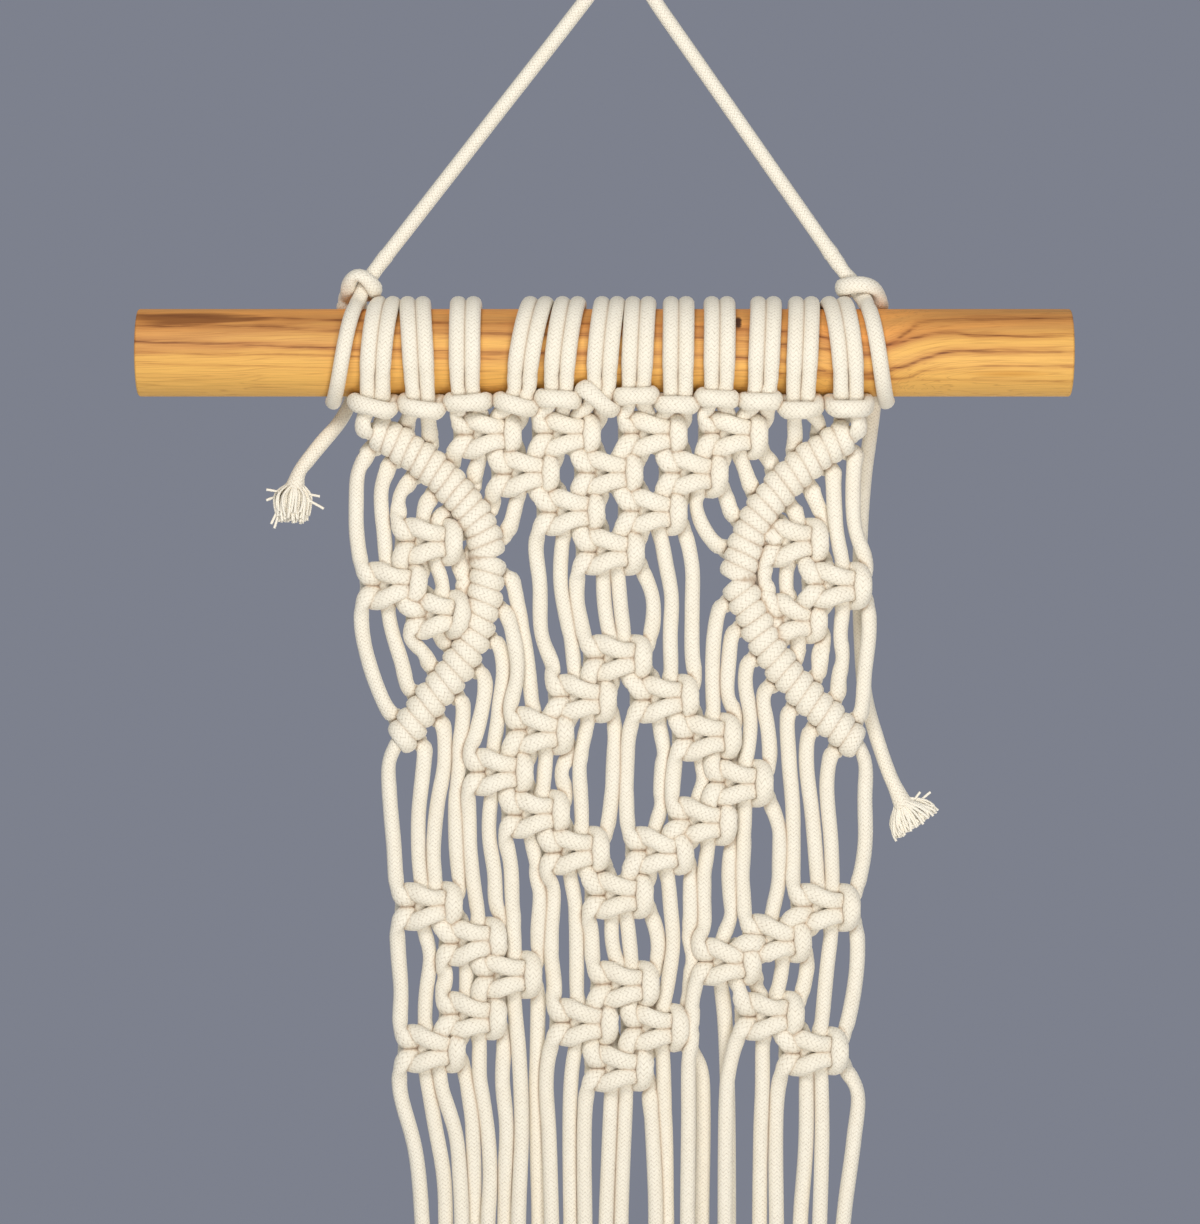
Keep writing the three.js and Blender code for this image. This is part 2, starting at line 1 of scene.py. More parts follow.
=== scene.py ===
# A macrame wall hanging on a wooden rod: real cords tied in their knots, a wooden rod and frayed tails.
# Lengths are millimetres until a mesh or the camera is made. Places on the hanging are given by x, by the
# drop below the rod's axis, and by how far they stand to the front.
import math

import bpy
import numpy as np
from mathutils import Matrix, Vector


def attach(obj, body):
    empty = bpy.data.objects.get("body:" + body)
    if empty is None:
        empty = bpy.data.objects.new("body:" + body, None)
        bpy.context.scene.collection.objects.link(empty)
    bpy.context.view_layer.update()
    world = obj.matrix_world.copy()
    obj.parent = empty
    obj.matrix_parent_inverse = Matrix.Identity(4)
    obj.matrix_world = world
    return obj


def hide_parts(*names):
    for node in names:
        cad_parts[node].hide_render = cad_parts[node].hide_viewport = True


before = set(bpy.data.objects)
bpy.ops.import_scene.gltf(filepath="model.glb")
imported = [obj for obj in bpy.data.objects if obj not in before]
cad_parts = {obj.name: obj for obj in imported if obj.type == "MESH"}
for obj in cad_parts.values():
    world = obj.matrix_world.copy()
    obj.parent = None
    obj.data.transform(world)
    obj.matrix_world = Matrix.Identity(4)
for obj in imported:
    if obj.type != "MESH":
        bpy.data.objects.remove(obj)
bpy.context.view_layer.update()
bpy.ops.object.select_all(action="DESELECT")

# Driving sizes
MM = 0.001
FRONT = np.array([0.0, -1.0, 0.0])
UP = np.array([0.0, 0.0, 1.0])
CORD = 5.0
ROD_DIAMETER = 30.0
ROD_LENGTH = 320.0
ROD_LEFT_X = -166.0
ROD_EASED_EDGE = 0.8
ROD_EDGE_STEPS = 4
ROD_SIDES = 96
ROD_SMOOTH_ANGLE = 35
ROD_END_FACING = 0.9
ROD_DROP = 127.5
NET_Y = -7.0
FRINGE_DROP = 460.0
FRINGE_SETTLE_DROP = 300.0
SEED = 11

# The photograph's frame at the rod: its middle in x and z, and its height
VIEW_CENTRE_X = -7.5
VIEW_CENTRE_Z = -216.5
VIEW_HEIGHT = 420.3
CAMERA_DISTANCE = 1500.0
CAMERA_REACH = 20000.0
SENSOR = 36.0

# Cord meshes: steps, sides, half the width of a net's strand, and how far a tight bend flattens a cord
RING_STEP = 1.35
CORD_SIDES = 14
NET_RADIUS = 2.6
FLATTEN = 0.2
FLATTEN_BEND = 7.0
FLATTEN_SMOOTH = (1, 2, 3, 2, 1)
CAP_ANGLE = 75
# Points worked out for each stretch of a route before it is stepped evenly
ROUTE_FINENESS = 16
# A slanted way, along no cord's start, that gives the first direction across a cord
ACROSS_FROM = (0.3, 1.0, 0.2)
# A turn that never falls into step with itself
TURN_OF_GOLD = 2.4

# Doubled cords over the rod, left to right: x over the rod's top, x at its front, the ends in x of the lark's
# head's bar, and their drops
HEADING = [
    (-81, -84, -93.5, -76, 18, 21),
    (-71, -69, -76, -59.5, 19.5, 21),
    (-53.5, -53.5, -60.5, -44, 18.5, 17.5),
    (-28.5, -34, -44, -29.5, 17.5, 20),
    (-17.5, -21.5, -30, -15.5, 16.5, 16.5),
    (-4, -7, -15.5, -2, 12, 20.5),
    (6.5, 5, -3, 12, 15.5, 15.5),
    (19.5, 19, 11.5, 26, 18.5, 18.5),
    (33.5, 33, 25, 39, 16.5, 16.5),
    (49.5, 48, 39.5, 53, 17.5, 17.5),
    (62.5, 61, 53, 68, 20.5, 20.5),
    (73.5, 77, 69, 85.5, 20, 20),
]
PAIR_OFFSET = 2.6
# Cords pressed a little flat on the rod
ROD_PRESS = 0.4
LOOP_RADIUS = (ROD_DIAMETER + CORD) / 2 - ROD_PRESS
# The bar before the strands that it holds, its ends, and the strands behind it, to the front of the net
HEADING_BAR_FRONT = 10.0
HEADING_BAR_END_FRONT = 8.0
HEADING_FOOT = (18.0, 4.5)
# Angles round the rod from its front up and over, with the share of the way to the place over the rod and to
# the bar's end
HEADING_TURNS = [
    (-30, 0, 0), (0, 0.2, 0), (30, 0.5, 0), (60, 0.8, 0), (90, 1, 0), (120, 1, 0), (150, 1, 0),
    (180, 1, 0.25), (205, 1, 0.5), (230, 1, 0.8), (250, 1, 1), (270, 1, 1), (290, 1, 1),
]

# Square knots: the first of the four strands tied, the centre, and how far it stands to the front if not 0
SQUARE_KNOTS = [
    (5, -46, 28.5), (9, -19, 28.5), (13, 10.5, 28.5), (17, 38, 28.5),
    (7, -33, 41.5), (11, -4.5, 41.5), (15, 24.5, 41.5),
    (9, -17.5, 54.5), (13, 10.5, 54.5), (11, -4, 68),
    (4, -66, 65), (2, -78, 80), (4, -62.5, 90),
    (18, 58.8, 65, -2), (20, 73.5, 80), (18, 58.5, 91.5, -3),
    (11, -1.5, 105), (9, -13.5, 118.5), (13, 14.5, 118.5), (7, -28, 129.5), (15, 29, 131.5),
    (5, -42, 143.5), (17, 39.8, 147.5), (7, -29.5, 158), (15, 27.5, 160.5),
    (9, -16, 170.5), (13, 13, 170.5), (11, -1, 185.5),
    (1, -66, 189.5), (3, -51, 201.5), (5, -39, 213), (3, -51, 227), (1, -65, 238),
    (21, 69.5, 190), (19, 53, 200.5), (17, 35.8, 208.2), (19, 50.5, 227), (21, 65.5, 239),
    (11, 1, 216.5), (9, -13, 229), (13, 11.5, 231), (11, -1, 244.5),
]
# A square knot's right-hand cord from top to bottom, in units across, up and to the front. The left-hand cord
# is the same turned half round, and the two core cords run straight down.
KNOT_STRANDS = 4
KNOT_UNITS = (4.5, 4.35, 5.0)
KNOT_CORD = [
    (2.3, 1.35, -0.45), (1.75, 0.85, -0.75), (1.35, 0.5, -0.2), (1.0, 0.48, 0.55), (0.4, 0.58, 1.0),
    (-0.3, 0.8, 1.1), (-0.95, 1.05, 0.9), (-1.5, 1.15, 0.15), (-1.85, 0.75, -0.75), (-1.9, 0.0, -1.1),
    (-1.85, -0.75, -0.75), (-1.5, -1.2, 0.15), (-0.95, -1.1, 0.9), (-0.3, -0.85, 1.1), (0.4, -0.6, 1.0),
    (1.0, -0.48, 0.55), (1.35, -0.5, -0.2), (1.75, -0.9, -0.75), (2.3, -1.4, -0.45),
]
KNOT_CORE = [1.2, 0.6, 0.0, -0.6, -1.2]
KNOT_CORE_ACROSS = 2.5

# Hitched bars: the way in x and drop, the strand that holds, the first and last strand hitched on it and how
# wide its hitches are drawn. Where strands hang straight above and below it, the last value is how far back
# along the bar the first of them comes in, in half hitches.
HITCH_BARS = [
    ([(-84.5, 27), (-79.4, 29.6), (-64.9, 39.8), (-54.4, 50.7), (-48.2, 60.5), (-45.6, 70.2)],
     1, 2, 8, 1.0, 0.7),
    ([(-45.6, 70.2), (-46.9, 84), (-50.7, 98), (-57.7, 109.8), (-66.2, 119.8), (-76.5, 133.5)],
     1, 8, 2, 0.95, None),
    ([(77.5, 28.3), (72.9, 31.1), (63, 38.1), (53.5, 47.2), (45.2, 58.8), (39, 78)], 24, 23, 17, 1.0, 1.3),
    ([(39, 78), (43.6, 87.7), (49.4, 100.1), (57.6, 111.7), (66.3, 120.8), (80.5, 134.5)],
     24, 17, 23, 0.95, None),
]
BAR_STEP = 0.25
# Ends of neighbouring ties nearer than this are left out, and so are points on the same place
HAIRPIN = 9.0
SAME_PLACE = 0.5
# A strand's double half hitch from top to bottom: along the bar in half hitches, and across it and to the
# front in cord widths. It passes behind the bar, up its front, slanting down behind, up its front again and
# out behind.
HITCH_WAY = [
    (-0.15, 1.6, -0.4), (-0.25, 1.0, -0.65), (-0.3, 0.2, -0.8), (-0.25, -0.55, -0.6), (-0.25, -0.84, 0.0),
    (-0.3, -0.72, 0.36), (-0.4, -0.42, 0.61), (-0.5, 0.0, 0.7), (-0.6, 0.42, 0.61), (-0.7, 0.72, 0.36),
    (-0.75, 0.84, 0.0), (-0.7, 0.6, -0.65), (0.0, 0.0, -1.5), (0.7, -0.6, -0.65), (0.75, -0.84, 0.0),
    (0.7, -0.72, 0.36), (0.6, -0.42, 0.61), (0.5, 0.0, 0.7), (0.4, 0.42, 0.61), (0.3, 0.72, 0.36),
    (0.25, 0.84, 0.0), (0.25, 0.55, -0.6), (0.3, -0.2, -0.8), (0.15, -1.0, -0.65), (0.05, -1.6, -0.4),
]
# How far the turns reach across the bar, beyond which a strand may hang straight, and how uneven they are
HITCH_REACH = 0.84
HITCH_UNEVEN = 0.07
# The share of the way back that is left at the last strand, and how far back the first strand goes out below
ENTRY_BACK_LAST = 0.6
EXIT_BACK = 1.3
# The holding strands' bends before their bars, in x, drop and how far to the front
HITCH_LEADS = {
    1: [(-87, 21, 4.5), (-88.6, 24.4, 5.8), (-88.2, 27.8, 5.4), (-85.6, 28.4, 2)],
    24: [(79.2, 21, 4.5), (81, 24.4, 5.8), (80.6, 28, 5.4), (78.6, 28.8, 2)],
}
# The turns of a hitch, which stay as drawn
HITCH_KEPT = slice(3, 22)
KEPT_OFF = 0.7

# Where each strand bows between its ties, in x and drop, and how far it stands to the front if not 0
STRAND_BOWS = {
    1: [(-79.6, 139.5), (-79.5, 150.5), (-78, 168), (-76.5, 205), (-75.5, 218), (-76, 252), (-70.6, 273)],
    2: [(-90, 40), (-90.8, 52), (-90.6, 63), (-89, 94), (-85.5, 109.5), (-68, 143.5), (-69.5, 157.5),
        (-69.5, 171.5), (-65.5, 206), (-67, 219.5), (-66.5, 249), (-64, 264), (-60.9, 281.5)],
    3: [(-72.6, 23), (-82.2, 46), (-82.2, 54), (-81.3, 62), (-78.5, 96), (-75, 107), (-60.5, 140),
        (-63, 154), (-64.5, 171.5), (-60, 213), (-62, 250, 1), (-56.8, 267, 1), (-55.3, 282, 1)],
    4: [(-66, 25), (-76.3, 49), (-76, 57), (-68.6, 98), (-66.8, 104), (-55, 133), (-56.5, 154),
        (-56.5, 171.5), (-57, 182), (-53, 214), (-51.7, 257), (-50.7, 274.5)],
    5: [(-67, 52), (-46.5, 113), (-49.5, 129.5), (-52.5, 161), (-51.5, 175), (-50, 187), (-48.6, 249),
        (-46.1, 265), (-45, 281.5)],
    6: [(-61.5, 54), (-40.5, 107.5), (-41.5, 118.5), (-43, 130), (-45.5, 164.5), (-43.5, 178.5), (-43, 190),
        (-40.9, 249), (-39.4, 265), (-39.9, 281.5)],
    7: [(-36.7, 99, 2.2), (-35.6, 110, 2.2), (-38, 175), (-37.5, 188.5), (-37, 199), (-36.8, 222),
        (-35.3, 238.5), (-34.3, 264)],
    8: [(-35, 91, -2), (-32.6, 104, -2.2), (-29, 175), (-27.5, 184), (-28.5, 198), (-28.7, 223, -2),
        (-29.2, 264, -3)],
    9: [(-29.5, 66), (-28, 79.5), (-27.5, 97), (-23, 109), (-26.5, 144), (-24, 183), (-24.5, 202.5),
        (-23, 218), (-26.1, 249), (-25.1, 264)],
    10: [(-21, 79.5), (-17.5, 97), (-21, 143.5), (-16, 188), (-15.5, 204), (-17.4, 249)],
    11: [(-15.5, 80), (-14.5, 92), (-14.5, 140), (-14, 152), (-10.5, 199)],
    12: [(-6, 86.5), (-2.5, 140), (-3.5, 152), (-3.5, 201)],
    13: [(-0.5, 86.5), (1.5, 138), (1.5, 152), (2.5, 201)],
    14: [(10.5, 83.5), (10.5, 93.5), (15, 140), (14.5, 152), (12.5, 201), (9.5, 255), (10.6, 266)],
    15: [(15, 72.5), (17, 83.5), (16.5, 97), (15.5, 145.5), (16.5, 188.5), (17.5, 202.5), (15.5, 217)],
    16: [(22.5, 60), (24, 73), (24, 86.5), (24, 104), (28, 146), (24, 186), (24.5, 205), (26.8, 244, -4),
         (27.8, 258, -4)],
    17: [(25, 51.5), (28.5, 61.5), (31.5, 97), (31, 114), (27.5, 182), (27, 196), (22.9, 236, 3),
         (22.7, 262, 4)],
    18: [(35, 49), (48.5, 77), (36.5, 106), (36, 118), (37, 178), (37.5, 192.5), (34.8, 223, -3),
         (36, 245, -4.5)],
    19: [(42, 46), (42, 112), (44, 126), (41.5, 166), (40.5, 180), (36.2, 247, 2), (35.4, 262, 4)],
    20: [(50, 40), (48, 118), (50, 129.5), (53, 140), (54, 164), (53.5, 182), (48, 252), (47.5, 265)],
    21: [(67, 48), (68.5, 98), (67.6, 103), (57, 138), (58.5, 158), (58, 176), (53.2, 253)],
    22: [(72.5, 51.5), (73.5, 63), (74.6, 97), (75.6, 105), (74, 111.5), (63, 140), (65, 158), (66.5, 176),
         (62.9, 270)],
    23: [(79, 46), (79.5, 60), (84.5, 95.5), (83, 109), (70, 147), (71.5, 168), (70.5, 207), (69, 222),
         (68.4, 267)],
    24: [(83.2, 140), (83, 152), (83, 170), (80.5, 207), (78.5, 223), (80.5, 252), (79.3, 269)],
}

# Fringe: where each strand hangs, and how far it stands behind the net's mid-plane
FRINGE = [
    (-67.5, 0), (-60, 2), (-55.5, -2.5), (-50.5, 2), (-45, -2), (-40, 2), (-34.5, -2), (-29, 3),
    (-23.5, -1), (-17, 1), (-12, -2), (-5, 0), (0.5, 0), (10.8, -2), (16, 2), (28, 4), (22.7, -4),
    (36.5, 4.5), (35.4, -4), (47, 1), (53, -2), (61, 2), (66.5, -2), (75, 0),
]
FRINGE_WAVE = 0.9
FRINGE_POINTS = 5
# Bows this near a tie's ends, by their drop, are left out
BOW_CLEAR = 2.0

# Hanging cord: its route over the bend by x and the rise above the rod's axis
HANGING_ROUTE = [
    (-80.6, 33.7), (-72, 44.7), (-60, 60.1), (-48, 75.5), (-36, 90.9), (-24, 106.2), (-14, 119.1),
    (-8.3, 126.3), (-4.7, 129.2), (-0.2, 130.2), (4.3, 129), (7.8, 125.9), (14, 116.9), (24, 102.6),
    (36, 85.4), (48, 68.2), (60, 51), (71.9, 34),
]
# The knots on the rod, in x, y and rise: from the leg down to the loop, and from the loop's end to the tail
HITCH_LEFT_LEG = [
    (-80.8, 0, 33.4), (-83.2, 0, 30.4), (-85.6, 0, 27), (-87.6, -0.4, 23.8), (-88.9, -2.4, 20.6),
]
HITCH_LEFT_WRAP = [
    (-95.2, 6, 18.8), (-94.2, 2.6, 20.2), (-93.9, -1.4, 21.2), (-93.6, -4, 24), (-91.6, -5.6, 26.8),
    (-88.6, -6.2, 26.4), (-85.8, -5, 23.2), (-84.2, -2.2, 20), (-84.6, 1.6, 18.9), (-87, 4.6, 20.2),
    (-90, 6.2, 22.6),
]
HITCH_RIGHT_LEG = [
    (72.1, 0, 33.7), (74.8, 0, 29.8), (77.4, 0.2, 26.1), (80, 0, 22.6), (82.3, -1.8, 19.6),
]
HITCH_RIGHT_WRAP = [
    (88.8, 3.6, 18), (88.4, -0.2, 20.6), (86.2, -3.4, 22.6), (82.6, -5, 23.1), (78.4, -4.6, 22.9),
    (75.4, -2, 22.6), (75.2, 1.8, 22.4), (78.6, 4.6, 22.4), (82, 6, 22.2),
]
# Loops round the rod: x at the front of the top, under the rod and at the back of the top
HITCH_LEFT_LOOP = (-90.6, -99.5, -95.6)
HITCH_RIGHT_LOOP = (83.6, 91.2, 89.6)
HITCH_LOOP_ANGLES = range(72, -253, -18)

# Tails: routes from behind the knot down to the frayed end, in x, y and drop
TAIL_LEFT_ROUTE = [
    (-92, 7.3, -23.5), (-91.8, 10.3, -23.5), (-91, 15.5, -19), (-91, 19, -9), (-92, 19.8, 0),
    (-93.2, 18.6, 8), (-94.2, 15.8, 16), (-97.5, 12, 23), (-103.2, 6.5, 30.4), (-107.8, 4, 36.4),
    (-111, 2.6, 41), (-112.5, 2, 46.6),
]
TAIL_RIGHT_ROUTE = [
    (86.2, 7.3, -22), (86.2, 10.3, -22), (86.5, 15.5, -18.5), (87, 19, -9), (87.5, 19.8, 0), (88, 18.8, 8),
    (87.5, 15.5, 17), (86, 12.5, 28), (84, 9.5, 42), (82.5, 7, 60), (82, 6, 80), (82.5, 5.5, 100),
    (84, 5, 118), (88, 4, 133), (92.2, 3.5, 145), (94.9, 3, 151), (97, 3, 155.6),
]
# A tail's braid opens towards its end: by what share, and over what reach
TAIL_FLARE = 0.42
TAIL_FLARE_REACH = 9.0

# Frayed ends: yarns of the opened braid, and how far back on a tail its way is read
YARN_RADIUS = 0.48
YARN_SIDES = 6
YARN_STEP = 1.4
TUFT_YARNS = 130
TUFT_ROOT = 1.5
TUFT_NECK = 2.7
TUFT_DEPTH = 2.4
TUFT_CURL = 0.7
TUFT_POINTS = 7
TUFT_AIM_BACK = 4
# How far the yarns in front part from the middle
TUFT_PARTING = 0.7
# Yarns that stick out: their neck's share of the length, the shares of the tuft's neck where they start and
# bend, and their neck's share of the way to the front
STRAY_NECK = 0.3
STRAY_START_SIDE = 0.6
STRAY_NECK_SIDE = 1.2
STRAY_NECK_FRONT = 0.4
# Tufts: their turn from the tail's way to the right in degrees, shortest and longest yarn, how far they
# spread, the share of their length at which they hang straight on, and yarns that stick out by degrees from
# straight on to the right, length and how far to the front
TUFTS = {
    "left_tuft": (8, (9.5, 13.5), 3.2, 0.42, [
        (-90, 9, 1), (62, 12, 1.5), (-62, 10, -2), (-20, 15, 1), (-12, 16, 1.5), (80, 8, -1.5),
    ]),
    "right_tuft": (10, (8.2, 10.2), 6.4, 1.0, [
        (104, 6, 1), (90, 10, -1), (50, 10, 1), (-40, 10, 1), (40, 10.5, -2), (-34, 11, 1.5),
    ]),
}

# Tightening of the cords: rounds, pull along the cord, pull to the drawn place, push where cords press, how
# many touches push in full, and the room that a cord takes when pressed
TIGHTEN_ROUNDS = 260
TIGHTEN_PULL = 0.22
TIGHTEN_HOLD = 0.06
TIGHTEN_PUSH = 0.45
TIGHTEN_TOUCHES = 3.0
CORD_ROOM = 0.92 * CORD
NEIGHBOUR_REACH = 7.5
NEIGHBOUR_EVERY = 12
# Points of one cord nearer than this along it don't press on each other
OWN_REACH = 2.2 * CORD
# How near another cord's surface darkens a cord with painted shade
PAINTED_SHADE_REACH = 1.15

# The net's three pieces, four doubled cords each, and the solids that the hanging cord's pieces stand for
NET_PIECES = ("strands_left", "strands_middle", "strands_right")
CORDS_PER_PIECE = 4
HANGING_NODES = {
    "left_tail": "tail_left",
    "left_hitch": "hitch_left",
    "hanging_cord": "hang_cord",
    "right_hitch": "hitch_right",
    "right_tail": "tail_right",
}


def spot(x, drop, front=0.0):
    """A place on the hanging as a point."""
    return (x, NET_Y - front, -ROD_DROP - drop)


def round_rod(x, degrees, radius=LOOP_RADIUS):
    """A place on a loop round the rod, by the angle from the rod's front up and over."""
    angle = math.radians(degrees)
    return (x, -radius * math.cos(angle), -ROD_DROP + radius * math.sin(angle))


def mix(a, b, share):
    return a + (b - a) * share


# Camera
def make_camera():
    camera = bpy.data.objects.new("camera", bpy.data.cameras.new("camera"))
    bpy.context.scene.collection.objects.link(camera)
    camera.location = (VIEW_CENTRE_X * MM, -CAMERA_DISTANCE * MM, VIEW_CENTRE_Z * MM)
    camera.rotation_euler = (math.pi / 2, 0, 0)
    camera.data.sensor_width = SENSOR
    camera.data.lens = SENSOR * CAMERA_DISTANCE / VIEW_HEIGHT
    camera.data.clip_end = CAMERA_REACH * MM
    bpy.context.scene.camera = camera


# Routes of the cords
def square_knot_points(knot, strand):
    """One strand's way through a square knot, from top to bottom."""
    first, x, drop, *stands = knot
    front = stands[0] if stands else 0.0
    unit_across, unit_up, unit_front = KNOT_UNITS
    place = strand - first
    if place in (1, 2):
        across = KNOT_CORE_ACROSS if place == 2 else -KNOT_CORE_ACROSS
        return [spot(x + across, drop - unit_up * up, front) for up in KNOT_CORE]
    side = 1 if place == 3 else -1
    return [
        spot(x + side * unit_across * a, drop - unit_up * up, front + side * unit_front * f)
        for a, up, f in KNOT_CORD
    ]


def hitch_points(bar, strand):
    """One strand's two turns round the holding strand, from top to bottom."""
    route, _, first, last, width, entry_back = bar
    path = bar_path(route)
    way = np.gradient(path, axis=0)
    across = np.column_stack([way[:, 2], np.zeros(len(way)), -way[:, 0]])
    across /= np.linalg.norm(across, axis=1)[:, None]
    if path[-1, 0] > path[0, 0]:
        across = -across
    half_hitches = 2 * (abs(last - first) + 1)
    points = []
    number = abs(strand - first)
    early = 1 - number / abs(last - first)
    for turn, up, front in HITCH_WAY:
        ridge = up if entry_back is None else float(np.clip(up, -HITCH_REACH, HITCH_REACH))
        back = 0.0
        if up > ridge:
            back = entry_back * mix(ENTRY_BACK_LAST, 1, early)
        elif up < ridge:
            back = EXIT_BACK * early
        share = (2 * number + 1 + turn - back) / half_hitches
        nearest = int(round(np.clip(share, 0, 1) * (len(path) - 1)))
        hangs = mix(across[nearest], UP, early) if up > 0 else UP
        wide = width * (1 + HITCH_UNEVEN * math.sin(TURN_OF_GOLD * (2 * strand + (turn > 0))))
        off = ridge * wide * across[nearest] + (up - ridge) * hangs + front * FRONT
        points.append(path[nearest] + CORD * off)
    return points


def bar_path(route):
    """The line of a hitched bar."""
    return smooth_path([spot(x, drop) for x, drop in route], BAR_STEP)


def strand_ties(strand):
    """What a strand is tied into, in the order of making, as the points of its way through each tie."""
    ties = []
    for knot in SQUARE_KNOTS:
        if knot[0] <= strand < knot[0] + KNOT_STRANDS:
            ties.append((knot[2], square_knot_points(knot, strand)))
    for bar in HITCH_BARS:
        route, holds, first, last, _, entry_back = bar
        middle_drop = sum(drop for _, drop in route) / len(route)
        if strand == holds:
            lead = [] if entry_back is None else HITCH_LEADS[strand]
            ties.append((middle_drop, [spot(*place) for place in lead + route]))
        elif min(first, last) <= strand <= max(first, last):
            ties.append((middle_drop, hitch_points(bar, strand)))
    return [points for _, points in sorted(ties, key=lambda tie: tie[0])]


def drop_of(point):
    return -ROD_DROP - point[2]


def strand_points(strand, rng):
    """A strand from under the heading's bar to the end of its fringe."""
    points = []
    bows = STRAND_BOWS[strand]
    reached = HEADING_FOOT[0]
    for tie in strand_ties(strand):
        if points and math.dist(points[-1], tie[0]) < HAIRPIN:
            points.pop()
            tie = tie[1:]
        first, last = drop_of(tie[0]), drop_of(tie[-1])
        points += [spot(*bow) for bow in bows if reached + BOW_CLEAR < bow[1] < first - BOW_CLEAR]
        points += [point for point in tie if not points or math.dist(point, points[-1]) > SAME_PLACE]
        reached = last
    points += [spot(*bow) for bow in bows if bow[1] > reached + BOW_CLEAR]
    x, behind = FRINGE[strand - 1]
    for drop in np.linspace(FRINGE_SETTLE_DROP, FRINGE_DROP, FRINGE_POINTS):
        sway = FRINGE_WAVE * rng.uniform(-1, 1)
        points.append(spot(x + sway, drop, -behind + FRINGE_WAVE * rng.uniform(-1, 1)))
    return points


def heading_half(pair, side):
    """Half of a lark's head: from the bar's end under, behind and over the rod to behind the bar."""
    over, front, bar_from, bar_to, drop_from, drop_to = pair
    front += side * PAIR_OFFSET
    over += side * PAIR_OFFSET
    bar_end = bar_from + CORD / 2 if side < 0 else bar_to - CORD / 2
    bar_drop = drop_from if side < 0 else drop_to
    points = [spot(bar_end, bar_drop, HEADING_BAR_END_FRONT)]
    for degrees, to_over, to_bar in reversed(HEADING_TURNS):
        points.append(round_rod(mix(mix(front, over, to_over), bar_end, to_bar), degrees))
    drop, foot_front = HEADING_FOOT
    points.append(spot(front, drop, foot_front))
    return points


def net_cord(number, rng):
    """One doubled cord, from the end of its left strand over the rod to the end of its right strand."""
    pair = HEADING[number]
    _, _, bar_from, bar_to, drop_from, drop_to = pair
    left = heading_half(pair, -1) + strand_points(2 * number + 1, rng)
    right = heading_half(pair, 1) + strand_points(2 * number + 2, rng)
    middle = spot((bar_from + bar_to) / 2, (drop_from + drop_to) / 2, HEADING_BAR_FRONT)
    return left[::-1] + [middle] + right


def rod_hitch(leg, loop, wrap):
    """A knot on the rod: from the leg down, round the rod, and round the leg to the tail."""
    top_front, under, top_back = loop
    turns = []
    angles = list(HITCH_LOOP_ANGLES)
    for i, degrees in enumerate(angles):
        share = i / (len(angles) - 1)
        x = mix(top_front, under, 2 * share) if share < 0.5 else mix(under, top_back, 2 * share - 1)
        turns.append(round_rod(x, degrees))
    return lifted(leg) + turns + lifted(wrap)


def lifted(points):
    """Points given by their rise above the rod's axis."""
    return [(x, y, rise - ROD_DROP) for x, y, rise in points]


def tail_points(route):
    return [(x, y, -ROD_DROP - drop) for x, y, drop in route]


def hanging_points():
    return [(x, 0.0, rise - ROD_DROP) for x, rise in HANGING_ROUTE]


def smooth_path(points, step=RING_STEP):
    """A smooth line through points, with even steps along it."""
    p = np.array(points, float)
    p = np.vstack([2 * p[0] - p[1], p, 2 * p[-1] - p[-2]])
    knots = np.concatenate([[0], np.cumsum(np.sqrt(np.linalg.norm(np.diff(p, axis=0), axis=1) + 1e-9))])
    fine = []
    for i in range(1, len(p) - 2):
        t0, t1, t2, t3 = knots[i - 1:i + 3]
        t = np.linspace(t1, t2, ROUTE_FINENESS, endpoint=False)[:, None]
        a1 = (t1 - t) / (t1 - t0) * p[i - 1] + (t - t0) / (t1 - t0) * p[i]
        a2 = (t2 - t) / (t2 - t1) * p[i] + (t - t1) / (t2 - t1) * p[i + 1]
        a3 = (t3 - t) / (t3 - t2) * p[i + 1] + (t - t2) / (t3 - t2) * p[i + 2]
        b1 = (t2 - t) / (t2 - t0) * a1 + (t - t0) / (t2 - t0) * a2
        b2 = (t3 - t) / (t3 - t1) * a2 + (t - t1) / (t3 - t1) * a3
        fine.append((t2 - t) / (t2 - t1) * b1 + (t - t1) / (t2 - t1) * b2)
    return even_path(np.vstack(fine + [p[-2:-1]]), step)


def even_path(line, step):
    """The same line with even steps."""
    reach = np.concatenate([[0], np.cumsum(np.linalg.norm(np.diff(line, axis=0), axis=1))])
    count = max(2, int(round(reach[-1] / step)) + 1)
    at = np.linspace(0, reach[-1], count)
    return np.column_stack([np.interp(at, reach, line[:, axis]) for axis in range(3)])


